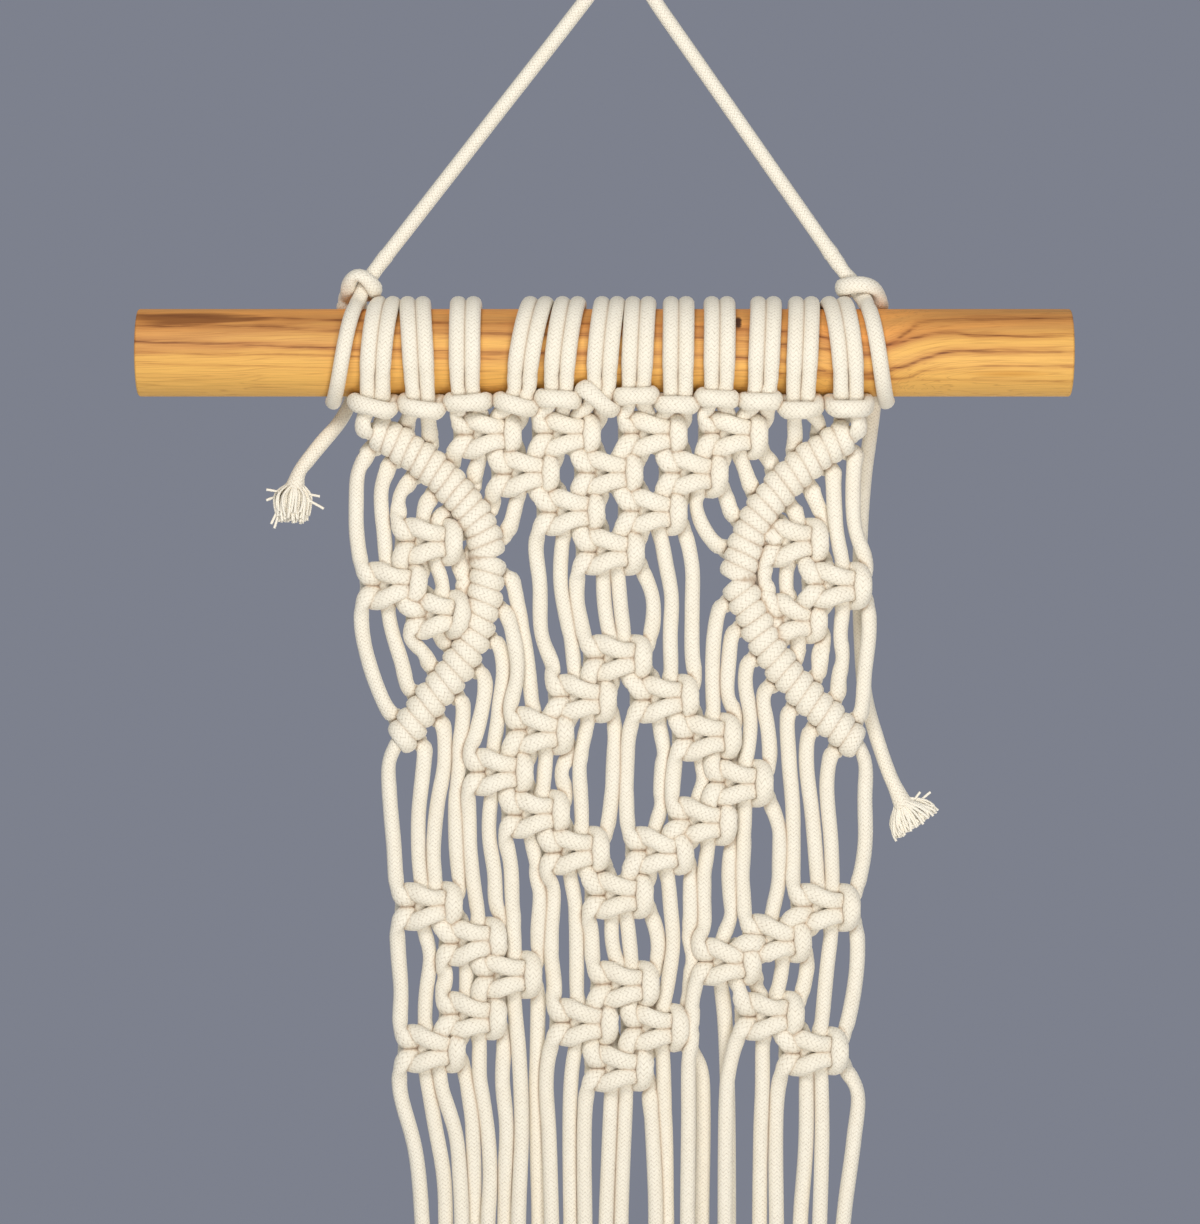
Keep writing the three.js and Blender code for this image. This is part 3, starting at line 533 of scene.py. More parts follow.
# Tightening: the cords pull straight, press on each other and on the rod, and stay near their drawn places
def near_pairs(points, cord, place):
    """Pairs of points that may press on each other."""
    cells = np.floor(points / NEIGHBOUR_REACH).astype(np.int64)
    cells -= cells.min(axis=0) - 1
    span = cells.max(axis=0) + 2
    keys = (cells[:, 0] * span[1] + cells[:, 1]) * span[2] + cells[:, 2]
    order = np.argsort(keys, kind="stable")
    ordered = keys[order]
    found = []
    for dx in (0, 1):
        for dy in (-1, 0, 1):
            for dz in (-1, 0, 1):
                shift = (dx * span[1] + dy) * span[2] + dz
                if shift < 0:
                    continue
                start = np.searchsorted(ordered, keys + shift, "left")
                stop = np.searchsorted(ordered, keys + shift, "right")
                counts = stop - start
                first = np.repeat(np.arange(len(keys)), counts)
                offset = np.arange(counts.sum()) - np.repeat(np.cumsum(counts) - counts, counts)
                second = order[np.repeat(start, counts) + offset]
                if shift == 0:
                    keep = first < second
                    first, second = first[keep], second[keep]
                found.append(np.column_stack([first, second]))
    pairs = np.vstack(found)
    gap = np.linalg.norm(points[pairs[:, 0]] - points[pairs[:, 1]], axis=1)
    own = cord[pairs[:, 0]] == cord[pairs[:, 1]]
    close = own & (np.abs(place[pairs[:, 0]] - place[pairs[:, 1]]) < OWN_REACH)
    return pairs[(gap < NEIGHBOUR_REACH) & ~close]


def kept_points(path, number):
    """Which points of a doubled cord stay as drawn: its turns in hitches and its run inside them."""
    kept = np.zeros(len(path), bool)
    for strand in (2 * number + 1, 2 * number + 2):
        for bar in HITCH_BARS:
            route, holds, first, last, *_ = bar
            if strand == holds:
                line = bar_path(route)
            elif min(first, last) <= strand <= max(first, last):
                line = smooth_path(hitch_points(bar, strand)[HITCH_KEPT])
            else:
                continue
            kept |= np.linalg.norm(path[:, None, :] - line[None, :, :], axis=2).min(axis=1) < KEPT_OFF
    return kept


def tighten(paths, fixed):
    """The paths as tied: touching and not passing through each other or the rod."""
    points = np.vstack(paths)
    drawn = points.copy()
    cord, place = numbered(paths)
    free = ~np.concatenate(fixed)
    inner = np.ones(len(points), bool)
    ends = np.cumsum([len(p) for p in paths])
    inner[ends - 1] = False
    inner[ends - [len(p) for p in paths]] = False
    inner &= free
    inside = np.flatnonzero(inner)
    rod_axis = np.array([0.0, -ROD_DROP])
    for turn in range(TIGHTEN_ROUNDS):
        if turn % NEIGHBOUR_EVERY == 0:
            pairs = near_pairs(points, cord, place)
        middle = (points[inside - 1] + points[inside + 1]) / 2
        points[inside] += TIGHTEN_PULL * (middle - points[inside])
        points[inside] += TIGHTEN_HOLD * (drawn[inside] - points[inside])
        apart = points[pairs[:, 1]] - points[pairs[:, 0]]
        gap = np.linalg.norm(apart, axis=1)
        pressed = gap < CORD_ROOM
        a, b = pairs[pressed].T
        push = apart[pressed] / gap[pressed, None] * (CORD_ROOM - gap)[pressed, None]
        push *= TIGHTEN_PUSH / 2
        moved = np.zeros_like(points)
        touches = np.bincount(a, minlength=len(points)) + np.bincount(b, minlength=len(points))
        for axis in range(3):
            moved[:, axis] += np.bincount(b, push[:, axis], len(points))
            moved[:, axis] -= np.bincount(a, push[:, axis], len(points))
        share = np.maximum(1.0, touches / TIGHTEN_TOUCHES)
        points[free] += (moved / share[:, None])[free]
        from_axis = points[:, 1:] - rod_axis
        reach = np.linalg.norm(from_axis, axis=1)
        along_rod = (points[:, 0] > ROD_LEFT_X) & (points[:, 0] < ROD_LEFT_X + ROD_LENGTH)
        sunk = free & along_rod & (reach < LOOP_RADIUS)
        points[sunk, 1:] = rod_axis + from_axis[sunk] / reach[sunk, None] * LOOP_RADIUS
    return np.split(points, ends[:-1])


def numbered(paths):
    """Which cord each point of the paths is on, and how far along it."""
    cord = np.concatenate([np.full(len(p), i) for i, p in enumerate(paths)])
    place = np.concatenate([np.arange(len(p)) * RING_STEP for p in paths])
    return cord, place


def nearness(rings, first, points, pairs):
    """How near other cords and the rod come to each vertex of a cord, from 0 to 1, for painted shade."""
    chosen = pairs[(pairs[:, 0] >= first) & (pairs[:, 0] < first + len(rings))]
    own, other = chosen[:, 0] - first, chosen[:, 1]
    gap = np.linalg.norm(rings[own] - points[other][:, None, :], axis=2) - CORD / 2
    nearest = np.hypot(rings[:, :, 1], rings[:, :, 2] + ROD_DROP) - ROD_DIAMETER / 2
    nearest[np.abs(rings[:, :, 0] - ROD_LEFT_X - ROD_LENGTH / 2) > ROD_LENGTH / 2] = PAINTED_SHADE_REACH
    np.minimum.at(nearest, own, gap)
    return np.clip(1 - nearest / PAINTED_SHADE_REACH, 0, 1)


# Cord meshes
def cord_frames(path):
    """Directions across a path that turn no more than the path does."""
    tangent = np.gradient(path, axis=0)
    tangent /= np.linalg.norm(tangent, axis=1)[:, None]
    side = np.zeros_like(path)
    start = np.cross(tangent[0], ACROSS_FROM)
    side[0] = start / np.linalg.norm(start)
    for i in range(1, len(path)):
        turned = side[i - 1] - tangent[i] * np.dot(side[i - 1], tangent[i])
        side[i] = turned / np.linalg.norm(turned)
    return side, np.cross(tangent, side)


def flattened(path, out):
    """Directions out of a path, shortened towards the inside of its bends and widened across them."""
    bend = np.zeros_like(path)
    bend[1:-1] = (path[:-2] - 2 * path[1:-1] + path[2:]) / np.linalg.norm(path[1] - path[0]) ** 2
    weights = np.array(FLATTEN_SMOOTH) / sum(FLATTEN_SMOOTH)
    bend = np.column_stack([np.convolve(bend[:, axis], weights, "same") for axis in range(3)])
    amount = np.linalg.norm(bend, axis=1)
    inward = bend / np.maximum(amount, 1e-6)[:, None]
    share = FLATTEN * np.minimum(amount * FLATTEN_BEND, 1)
    towards = np.einsum("rsk,rk->rs", out, inward)
    return out + share[:, None, None] * (out - 2 * towards[:, :, None] * inward[:, None, :])


def tube_parts(path, radii, sides, start=0.0, frames=None):
    """Vertices, faces and corner coordinates of a capped tube: turns round it and millimetres along it."""
    side, other = frames or cord_frames(path)
    rings = len(path)
    angle = np.linspace(0, 2 * np.pi, sides, endpoint=False)
    radii = np.broadcast_to(radii, rings)
    out = side[:, None, :] * np.cos(angle)[None, :, None] + other[:, None, :] * np.sin(angle)[None, :, None]
    out = flattened(path, out)
    vertices = (path[:, None, :] + radii[:, None, None] * out).reshape(-1, 3)
    vertices = np.vstack([vertices, path[0], path[-1]])
    ring = np.arange(rings - 1)[:, None] * sides
    corner = np.arange(sides)[None, :]
    following = (corner + 1) % sides
    around_ring = [ring + corner, ring + following, ring + sides + following, ring + sides + corner]
    quads = np.stack(around_ring, axis=-1)
    reach = start + np.concatenate([[0], np.cumsum(np.linalg.norm(np.diff(path, axis=0), axis=1))])
    low = np.broadcast_to(reach[:-1, None], (rings - 1, sides))
    high = np.broadcast_to(reach[1:, None], (rings - 1, sides))
    left = np.broadcast_to(corner / sides, (rings - 1, sides))
    right = np.broadcast_to((corner + 1) / sides, (rings - 1, sides))
    quad_uv = np.stack([left, low, right, low, right, high, left, high], axis=-1)
    first, last = len(vertices) - 2, len(vertices) - 1
    top = (rings - 1) * sides
    around, ahead = corner[0], following[0]
    caps = np.vstack([
        np.column_stack([ahead, around, np.full(sides, first)]),
        np.column_stack([top + around, top + ahead, np.full(sides, last)]),
    ])
    cap_uv = np.zeros((len(caps), 6))
    cap_uv[:, 0::2] = (np.arange(len(caps))[:, None] % sides) / sides
    cap_uv[:sides, 1::2] = reach[0]
    cap_uv[sides:, 1::2] = reach[-1]
    return vertices, quads.reshape(-1, 4), quad_uv.reshape(-1, 8), caps, cap_uv


def joined_mesh(name, parts, finish, painted_shade_parts=None):
    """One object from several tubes, in metres."""
    vertices, quads, quad_uv, caps, cap_uv = [], [], [], [], []
    count = 0
    for part in parts:
        vertices.append(part[0])
        quads.append(part[1] + count)
        quad_uv.append(part[2])
        caps.append(part[3] + count)
        cap_uv.append(part[4])
        count += len(part[0])
    mesh = bpy.data.meshes.new(name)
    faces = np.vstack(quads).tolist() + np.vstack(caps).tolist()
    mesh.from_pydata((np.vstack(vertices) * MM).tolist(), [], faces)
    layer = mesh.uv_layers.new(name="braid")
    layer.data.foreach_set("uv", np.concatenate([np.vstack(quad_uv).ravel(), np.vstack(cap_uv).ravel()]))
    # Painted shade: how near other cords and the rod come, kept on each vertex
    if painted_shade_parts is not None:
        shade = mesh.attributes.new("crevice", "FLOAT", "POINT")
        shade.data.foreach_set("value", np.concatenate(painted_shade_parts))
    mesh.shade_smooth()
    mesh.set_sharp_from_angle(angle=math.radians(CAP_ANGLE))
    mesh.materials.append(finish)
    piece = bpy.data.objects.new(name, mesh)
    bpy.context.scene.collection.objects.link(piece)
    return piece


# Finishes: a shader value whose arithmetic adds nodes, and a material that makes nodes
class Value:
    def __init__(self, finish, socket):
        self.finish = finish
        self.socket = socket

    def math(self, operation, *others):
        return self.finish.node("ShaderNodeMath", {"operation": operation}, dict(enumerate((self, *others))))

    def __add__(self, other):
        return self.math("ADD", other)

    __radd__ = __add__

    def __mul__(self, other):
        return self.math("MULTIPLY", other)

    __rmul__ = __mul__

    def __sub__(self, other):
        return self.math("SUBTRACT", other)

    def __rsub__(self, other):
        return self.math("MULTIPLY", -1.0).math("ADD", other)

    def __truediv__(self, other):
        return self.math("DIVIDE", other)

    def __pow__(self, other):
        return self.math("POWER", other)

    def limited(self):
        return self.math("MAXIMUM", 0.0).math("MINIMUM", 1.0)


class Finish:
    def __init__(self, name, **shader):
        self.material = bpy.data.materials.new(name)
        self.material.use_nodes = True
        self.tree = self.material.node_tree
        self.shader = self.tree.nodes["Principled BSDF"]
        for socket, value in shader.items():
            self.shader.inputs[socket.replace("_", " ")].default_value = value

    def node(self, kind, settings, inputs, output=0):
        """Adds a node with its settings and its inputs' values or links, and gives one of its outputs."""
        made = self.tree.nodes.new(kind)
        for name, value in settings.items():
            if name == "stops":
                self.set_stops(made.color_ramp, value)
            else:
                setattr(made, name, value)
        for name, value in inputs.items():
            if isinstance(value, Value):
                self.tree.links.new(value.socket, made.inputs[name])
            else:
                made.inputs[name].default_value = value
        return Value(self, made.outputs[output])

    @staticmethod
    def set_stops(ramp, stops):
        while len(ramp.elements) < len(stops):
            ramp.elements.new(1.0)
        for element, (place, colour) in zip(ramp.elements, stops):
            element.position = place
            element.color = (*colour, 1.0)

    def mix_colour(self, share, first, second):
        """Two colours mixed by a share."""
        return self.node("ShaderNodeMix", {"data_type": "RGBA"}, {0: share, 6: first, 7: second}, output=2)

    def object_place(self):
        return self.node("ShaderNodeTexCoord", {}, {}, output=3)

    def fine_noise(self, scale, detail):
        """Noise all over the piece, by its scale to a metre."""
        inputs = {"Vector": self.object_place(), "Scale": scale, "Detail": detail}
        return self.node("ShaderNodeTexNoise", {}, inputs)

    def vector(self, operation, first, second):
        return self.node("ShaderNodeVectorMath", {"operation": operation}, {0: first, 1: second})

    def noise(self, place, detail):
        """Noise between about 0.2 and 0.8 at a place given by three numbers."""
        where = self.node("ShaderNodeCombineXYZ", {}, dict(enumerate(place)))
        return self.node("ShaderNodeTexNoise", {}, {"Vector": where, "Scale": 1.0, "Detail": detail})

    def curve(self, value, points):
        """A smooth curve through points between 0 and 1."""
        node = self.node("ShaderNodeFloatCurve", {}, {"Value": value})
        mapping = node.socket.node.mapping
        drawn = mapping.curves[0].points
        drawn[0].location, drawn[1].location = points[0], points[-1]
        for place in points[1:-1]:
            drawn.new(*place)
        mapping.update()
        return node

    def braid_place(self):
        """Turns round a cord and millimetres along it."""
        uv = self.node("ShaderNodeUVMap", {"uv_map": "braid"}, {})
        return [self.node("ShaderNodeSeparateXYZ", {}, {0: uv}, output=axis) for axis in (0, 1)]

    def feed(self, socket, value):
        self.tree.links.new(value.socket, self.shader.inputs[socket])

    def feed_bump(self, height, strength, distance):
        """Raises the surface by a height, with the distance in millimetres."""
        inputs = {"Strength": strength, "Distance": distance * MM, "Height": height}
        self.feed("Normal", self.node("ShaderNodeBump", {}, inputs))


# Cotton
COTTON_SHEEN = {"Sheen_Weight": 0.2, "Sheen_Roughness": 0.5, "Specular_IOR_Level": 0.15}
CORD_ROUGHNESS = 0.93
YARN_ROUGHNESS = 0.95
CREAM = (0.85, 0.775, 0.64, 1.0)
CREAM_PALE = (0.89, 0.835, 0.72, 1.0)
# Dark colour of the braid's grooves and specks: painted shade, and the cotton's own dark flecks
CREAM_SHADE_AND_SPECKS = (0.44, 0.35, 0.245, 1.0)
# Painted shade where other cords or the rod come near a cord: its colour, strength and fall
CREAM_PAINTED_SHADE = (0.36, 0.2, 0.085, 1.0)
PAINTED_SHADE_TONE = 0.62
PAINTED_SHADE_FALL = 2.0
# Braid: columns round the cord, length of a stitch, its slant in stitches, and how uneven they are
BRAID_COLUMNS = 16
BRAID_ROW = 1.35
BRAID_SLANT = 0.8
BRAID_UNEVEN = 0.6
# Rounding of a stitch and of a column, and the relief of stitches and fuzz
STITCH_ROUNDING = 0.5
COLUMN_CROWN = 0.45
STITCH_RELIEF = 0.8
FUZZ_RELIEF = 0.4
BRAID_BUMP = {"strength": 0.9, "distance": 0.18}
# Dark gaps, painted shade in the grooves together with the cotton's own dark specks: how thin they are, their
# depth between stitches, less on a column's crown, and between columns
GAP_THIN = 3.0
GAP_DEPTH = 0.95
GAP_ON_CROWN = 0.45
GAP_BETWEEN_COLUMNS = 0.08
# How far specks break the gaps, and the scale and detail of the cotton's noises
SPECK_CONTRAST = 2.4
SPECK_LEVEL = 0.5
COTTON_NOISE = {
    "uneven": (420.0, 1.0),
    "mottle": (90.0, 3.0),
    "specks": (900.0, 1.0),
    "fuzz": (2600.0, 2.0),
    "yarn_fuzz": (3500.0, 2.0),
}
# Yarns of the opened braid: plies, turns to a millimetre, and how dark their gaps are with painted shade
# between the plies
YARN_PLIES = 2.0
YARN_TWIST = 0.8
PLY_SHADE_FALL = 2.0
PLY_GAP_PAINTED_SHADE = 0.2
YARN_BUMP = {"strength": 0.6, "distance": 0.12}


def cotton_cord():
    """Braided cotton: columns of slanted stitches that lean left and right by turns, uneven in colour, with
    painted shade in the grooves and where other cords or the rod come near.
    """
    finish = Finish("cotton_cord", Roughness=CORD_ROUGHNESS, **COTTON_SHEEN)
    around, along = finish.braid_place()
    uneven, mottle, specks, fuzz = (
        finish.fine_noise(*COTTON_NOISE[kind]) for kind in ("uneven", "mottle", "specks", "fuzz")
    )
    uneven = uneven - 0.5
    columns = around * BRAID_COLUMNS + uneven * BRAID_UNEVEN
    across = columns.math("FRACT")
    leaning = ((columns.math("FLOOR") / 2.0).math("FRACT").math("GREATER_THAN", 0.25)) * 2.0 - 1.0
    rows = along / BRAID_ROW + leaning * (across - 0.5) * BRAID_SLANT + uneven * BRAID_UNEVEN
    stitch = (rows.math("FRACT") * math.pi).math("SINE")
    yarn = (across * math.pi).math("SINE")
    height = stitch ** STITCH_ROUNDING * (yarn * COLUMN_CROWN + (1 - COLUMN_CROWN))
    tone = finish.mix_colour(mottle, CREAM, CREAM_PALE)
    # Painted shade in the grooves between stitches and between columns, shown only where the speck noise
    # allows, so the marks are partly the cotton's own dark specks
    line = (1.0 - stitch) ** GAP_THIN
    valley = (1.0 - yarn) ** GAP_THIN
    broken = (specks * SPECK_CONTRAST - SPECK_LEVEL).limited()
    gap = (line * (GAP_DEPTH - yarn * GAP_ON_CROWN) + valley * GAP_BETWEEN_COLUMNS) * broken
    groove_shade_and_specks = finish.mix_colour(gap.limited(), tone, CREAM_SHADE_AND_SPECKS)
    # Painted shade: the cord darkens where other cords or the rod come near
    crevice = finish.node("ShaderNodeAttribute", {"attribute_name": "crevice"}, {}, output=2)
    shaded = crevice ** PAINTED_SHADE_FALL * PAINTED_SHADE_TONE
    finish.feed("Base Color", finish.mix_colour(shaded, groove_shade_and_specks, CREAM_PAINTED_SHADE))
    finish.feed_bump(height * STITCH_RELIEF + fuzz * FUZZ_RELIEF, **BRAID_BUMP)
    return finish.material


def cotton_yarn():
    """The opened braid's yarns: two plies twisted together."""
    finish = Finish("cotton_yarn", Roughness=YARN_ROUGHNESS, **COTTON_SHEEN)
    around, along = finish.braid_place()
    ply = ((around * YARN_PLIES + along * YARN_TWIST).math("FRACT") * math.pi).math("SINE")
    fuzz = finish.fine_noise(*COTTON_NOISE["yarn_fuzz"])
    # Painted shade in the grooves between the two plies
    gap = (1.0 - ply) ** PLY_SHADE_FALL * PLY_GAP_PAINTED_SHADE
    finish.feed("Base Color", finish.mix_colour(gap, CREAM_PALE, CREAM_SHADE_AND_SPECKS))
    finish.feed_bump(ply + fuzz * FUZZ_RELIEF, **YARN_BUMP)
    return finish.material


# Wood
WOOD_ROUGHNESS = 0.55
WOOD_SPECULAR = 0.3
# The wood's own yellow and red, both made brighter than the honey as painted light on the rod's underside and
# top
WOOD_YELLOW = (0.82, 0.455, 0.112)
WOOD_HONEY = (0.63, 0.305, 0.086)
WOOD_RED = (0.9, 0.39, 0.094)
WOOD_BAND = (0.5, 0.18, 0.045)
WOOD_BROWN = (0.17, 0.05, 0.011)
WOOD_DARK = (0.07, 0.026, 0.010)
WOOD_AMBER = (0.58, 0.23, 0.02)
# Noises of the wood: their scale along the rod, from front to back and upwards, and their detail
WOOD_NOISE = {
    "sway": ((0.013, 0.05, 0.03), 2.0),
    "broad": ((0.004, 0.08, 0.16), 3.0),
    "contour": ((0.006, 0.22, 0.42), 2.0),
    "breaks": ((0.05, 0.1, 0.2), 3.0),
    "flecks": ((0.08, 2.6, 2.6), 3.0),
    "waver": ((0.04, 0.3, 0.3), 2.0),
    "pores": ((0.07, 3.6, 3.6), 4.0),
}
# Grain: how far its lines dip round a knot in the wood, where, and over what reach, their fall along the rod
# and from back to front, and how far they sway
GRAIN_DIP = 8.0
GRAIN_DIP_X = 82.0
GRAIN_DIP_REACH = 17.0
GRAIN_FALL = -0.02
GRAIN_TILT = 0.35
GRAIN_SWAY = 6.0
# Tone of the wood, from yellow below to red above, partly painted light, as its ends are brighter than its
# middle to stand for light on the rod's underside and top: its rise, its patches and its level
TONE_AND_PAINTED_LIGHT_RISE = 0.85
TONE_PATCHY = 1.2
TONE_LEVEL = 0.08
TONE_AND_PAINTED_LIGHT_STOPS = [(0.25, WOOD_YELLOW), (0.58, WOOD_HONEY), (1.0, WOOD_RED)]
# Fine lines between growth rings: how many, how thin and how strong
RING_LINES = 9.0
RING_LINES_THIN = 7.0
RING_LINES_TONE = 0.16
# Drawn lines of the grain: half width, strength and the way in x and height from the rod's axis
GRAIN_LINES = [
    (0.6, 0.9, [
        (-166, 3.2), (-130, 1.8), (-100, 0.6), (-50, -0.6), (50, -3), (80, -8), (93.6, -6), (103.9, -2.4),
        (114, -0.4), (128, -0.3), (154, -0.7),
    ]),
    (0.75, 0.8, [
        (-166, 8.9), (-125, 8.2), (-100, 6.6), (-40, 5.6), (20, 5), (70, 0), (82, -1.5), (91.2, 2.4),
        (97, 6.4), (104, 10), (120, 11), (154, 11.2),
    ]),
    (0.35, 0.5, [
        (-166, -0.6), (-100, -2), (-20, -3.5), (60, -8), (94.4, -9.2), (103.9, -6.8), (116, -6),
        (154, -5.6),
    ]),
    (0.25, 0.3, [
        (-166, -4.5), (-100, -5.9), (0, -8), (154, -10.5),
    ]),
    (0.5, 0.9, [
        (-166, 12.6), (-60, 9.5), (0, 9), (60, 6), (88, 2), (100, 4.8), (111, 6.4), (121, 5.2), (154, 5.2),
    ]),
]
# A line is a dark core with flecks in a wider red band: how much wider, and how strong
GRAIN_BAND_WIDER = 2.6
GRAIN_BAND = 0.65
# How far a drawn line sways and wavers, and the level and contrast of its breaks and flecks
LINE_SWAY = 1.5
LINE_WAVER = 1.2
LINE_BREAKS = (0.2, 3.0)
LINE_FLECKS = (0.36, 4.0)
# Patches by middle in x and height and half their reach, with their strength: dark heartwood at the left
# end, a small knot and amber stain. Then how full they are, and how far the grain breaks their edges.
HEART_STREAK = (-146.0, 11.2, 24.0, 1.9)
HEART_STREAK_TONE = 0.75
WOOD_KNOT = (39.6, 9.6, 1.2, 1.9)
AMBER_STAIN = (131.0, -8.0, 16.0, 1.3)
AMBER_STAIN_TONE = 0.5
PATCH_FULL = 1.4
PATCH_BREAK = 3.0
# Pores: level and contrast, tone, and the relief of pores and lines
PORES = (0.47, 3.5)
PORES_TONE = 0.26
PORES_RELIEF = -0.6
LINES_RELIEF = 0.2
WOOD_BUMP = {"strength": 0.3, "distance": 0.2}


def stained_wood():
    """Honey-stained wood: lines drawn out along the rod, redder above, brighter at top and bottom as painted
    light, with pores and a dark streak.
    """
    finish = Finish("stained_wood", Roughness=WOOD_ROUGHNESS, Specular_IOR_Level=WOOD_SPECULAR)
    centred = finish.vector("ADD", finish.object_place(), (0.0, 0.0, ROD_DROP * MM))
    x, y, z = (finish.node("ShaderNodeSeparateXYZ", {}, {0: centred}, output=axis) / MM for axis in range(3))

    def noise(kind, height):
        (along, back, up), detail = WOOD_NOISE[kind]
        return finish.noise((x * along, y * back, height * up), detail)

    def contrasted(value, level, contrast):
        return ((value - level) * contrast).limited()

    def bell(off, wider=1.0):
        return (off * off * (-1.0 / wider ** 2)).math("EXPONENT")

    def patch(middle_x, middle_z, reach_x, reach_z):
        off_x, off_z = (x - middle_x) / reach_x, (z - middle_z) / reach_z
        return (PATCH_FULL - off_x * off_x - off_z * off_z + (contour - 0.5) * PATCH_BREAK).limited()

    dip = bell((x - GRAIN_DIP_X) / GRAIN_DIP_REACH) * GRAIN_DIP
    sway = noise("sway", z) - 0.5
    level = z + dip + x * GRAIN_FALL + y * GRAIN_TILT + sway * GRAIN_SWAY
    patchy = noise("broad", level) - 0.5
    # Painted light in part: the tone by height is brighter at the rod's underside and top than in its middle,
    # standing for light falling there
    tone = (level / ROD_DIAMETER + 0.5) * TONE_AND_PAINTED_LIGHT_RISE + patchy * TONE_PATCHY + TONE_LEVEL
    base = finish.node("ShaderNodeValToRGB", {"stops": TONE_AND_PAINTED_LIGHT_STOPS}, {0: tone})

    contour = noise("contour", level)
    from_ring = ((contour * RING_LINES).math("FRACT") - 0.5).math("ABSOLUTE")
    lines = bands = (1.0 - from_ring * RING_LINES_THIN).limited() * RING_LINES_TONE
    breaks = contrasted(noise("breaks", z), *LINE_BREAKS)
    flecks = contrasted(noise("flecks", z), *LINE_FLECKS)
    waver = (noise("waver", z) - 0.5) * LINE_WAVER + sway * LINE_SWAY
    along_rod = (x - ROD_LEFT_X) / ROD_LENGTH
    for half, strength, way in GRAIN_LINES:
        share = finish.curve(along_rod, [rod_share(*point) for point in way])
        off = (z - (share * ROD_DIAMETER - ROD_DIAMETER / 2) + waver) / half
        seen = breaks * strength
        lines = lines + bell(off) * seen * flecks
        bands = bands + bell(off, GRAIN_BAND_WIDER) * seen * GRAIN_BAND
    colour = base
    pores = contrasted(noise("pores", z), *PORES)
    for share, tint in (
        (bands.limited(), WOOD_BAND),
        (lines.limited(), WOOD_BROWN),
        (patch(*HEART_STREAK) * HEART_STREAK_TONE, WOOD_BROWN),
        (patch(*WOOD_KNOT), WOOD_DARK),
        (patch(*AMBER_STAIN) * AMBER_STAIN_TONE, WOOD_AMBER),
        (pores * PORES_TONE, WOOD_BROWN),
    ):
        colour = finish.mix_colour(share, colour, (*tint, 1.0))
    finish.feed("Base Color", colour)
    finish.feed_bump(pores * PORES_RELIEF - lines * LINES_RELIEF, **WOOD_BUMP)
    return finish.material


def rod_share(x, height):
    """A place on the rod as shares of its length and thickness."""
    return (x - ROD_LEFT_X) / ROD_LENGTH, height / ROD_DIAMETER + 0.5


# Frayed ends
def unit(way):
    return way / np.linalg.norm(way)


def tuft_parts(line, tuft, rng):
    """Yarns that fan out from the end of a tail, and a few that stick out."""
    lean, lengths, spread, hangs_at, strays = tuft
    end = line[-1]
    ahead = unit(end - line[-TUFT_AIM_BACK])
    right = unit(np.array([-ahead[2], 0.0, ahead[0]]))
    turn = math.radians(lean)
    cosine, sine = math.cos(turn), math.sin(turn)
    ahead, right = cosine * ahead + sine * right, cosine * right - sine * ahead
    root = end - TUFT_ROOT * ahead
    ways = []
    for i in range(TUFT_YARNS):
        angle = TURN_OF_GOLD * i
        off = math.sqrt((i + 0.5) / TUFT_YARNS)
        length = rng.uniform(*lengths)
        curl = rng.normal(0, TUFT_CURL, 2)
        way = []
        for share in np.linspace(0, 1, TUFT_POINTS):
            opened = math.sin(min(share / hangs_at, 1) * math.pi / 2)
            swing = math.sin(math.pi * share)
            parted = TUFT_NECK * mix(1 - TUFT_PARTING * max(0.0, math.sin(angle)), 1, opened)
            to_right = off * math.cos(angle) * (parted + spread * opened) + curl[0] * swing
            to_front = off * math.sin(angle) * (TUFT_NECK + TUFT_DEPTH * opened) + curl[1] * swing
            way.append(root + length * share * ahead + to_right * right + to_front * FRONT)
        ways.append(way)
    for degrees, length, to_front in strays:
        angle = math.radians(degrees)
        side = math.copysign(TUFT_NECK, degrees)
        outwards = math.cos(angle) * ahead + math.sin(angle) * right
        neck = root + STRAY_NECK * length * ahead + STRAY_NECK_SIDE * side * right
        neck = neck + STRAY_NECK_FRONT * to_front * FRONT
        tip = neck + (1 - STRAY_NECK) * length * outwards + (1 - STRAY_NECK_FRONT) * to_front * FRONT
        ways.append([root + STRAY_START_SIDE * side * right, neck, tip])
    return [tube_parts(smooth_path(way, YARN_STEP), YARN_RADIUS, YARN_SIDES) for way in ways]


# Rod
def make_rod(finish):
    """The rod: a turned dowel with eased edges."""
    bpy.ops.object.select_all(action="DESELECT")
    bpy.ops.mesh.primitive_cylinder_add(
        vertices=ROD_SIDES, radius=ROD_DIAMETER / 2 * MM, depth=ROD_LENGTH * MM, end_fill_type="NGON",
        location=((ROD_LEFT_X + ROD_LENGTH / 2) * MM, 0, -ROD_DROP * MM), rotation=(0, math.pi / 2, 0),
    )
    piece = bpy.context.object
    piece.name = "dowel"
    piece.data.name = "dowel"
    bpy.ops.object.transform_apply(location=True, rotation=True, scale=True)
    bpy.ops.object.mode_set(mode="EDIT")
    bpy.ops.mesh.select_mode(type="FACE")
    bpy.ops.mesh.select_all(action="DESELECT")
    bpy.ops.object.mode_set(mode="OBJECT")
    for face in piece.data.polygons:
        face.select = abs(face.normal.x) > ROD_END_FACING
    bpy.ops.object.mode_set(mode="EDIT")
    bpy.ops.mesh.region_to_loop()
    bpy.ops.mesh.bevel(offset=ROD_EASED_EDGE * MM, segments=ROD_EDGE_STEPS, affect="EDGES")
    bpy.ops.object.mode_set(mode="OBJECT")
    bpy.ops.object.shade_smooth_by_angle(angle=math.radians(ROD_SMOOTH_ANGLE))
    piece.data.materials.clear()
    piece.data.materials.append(finish)
    return piece


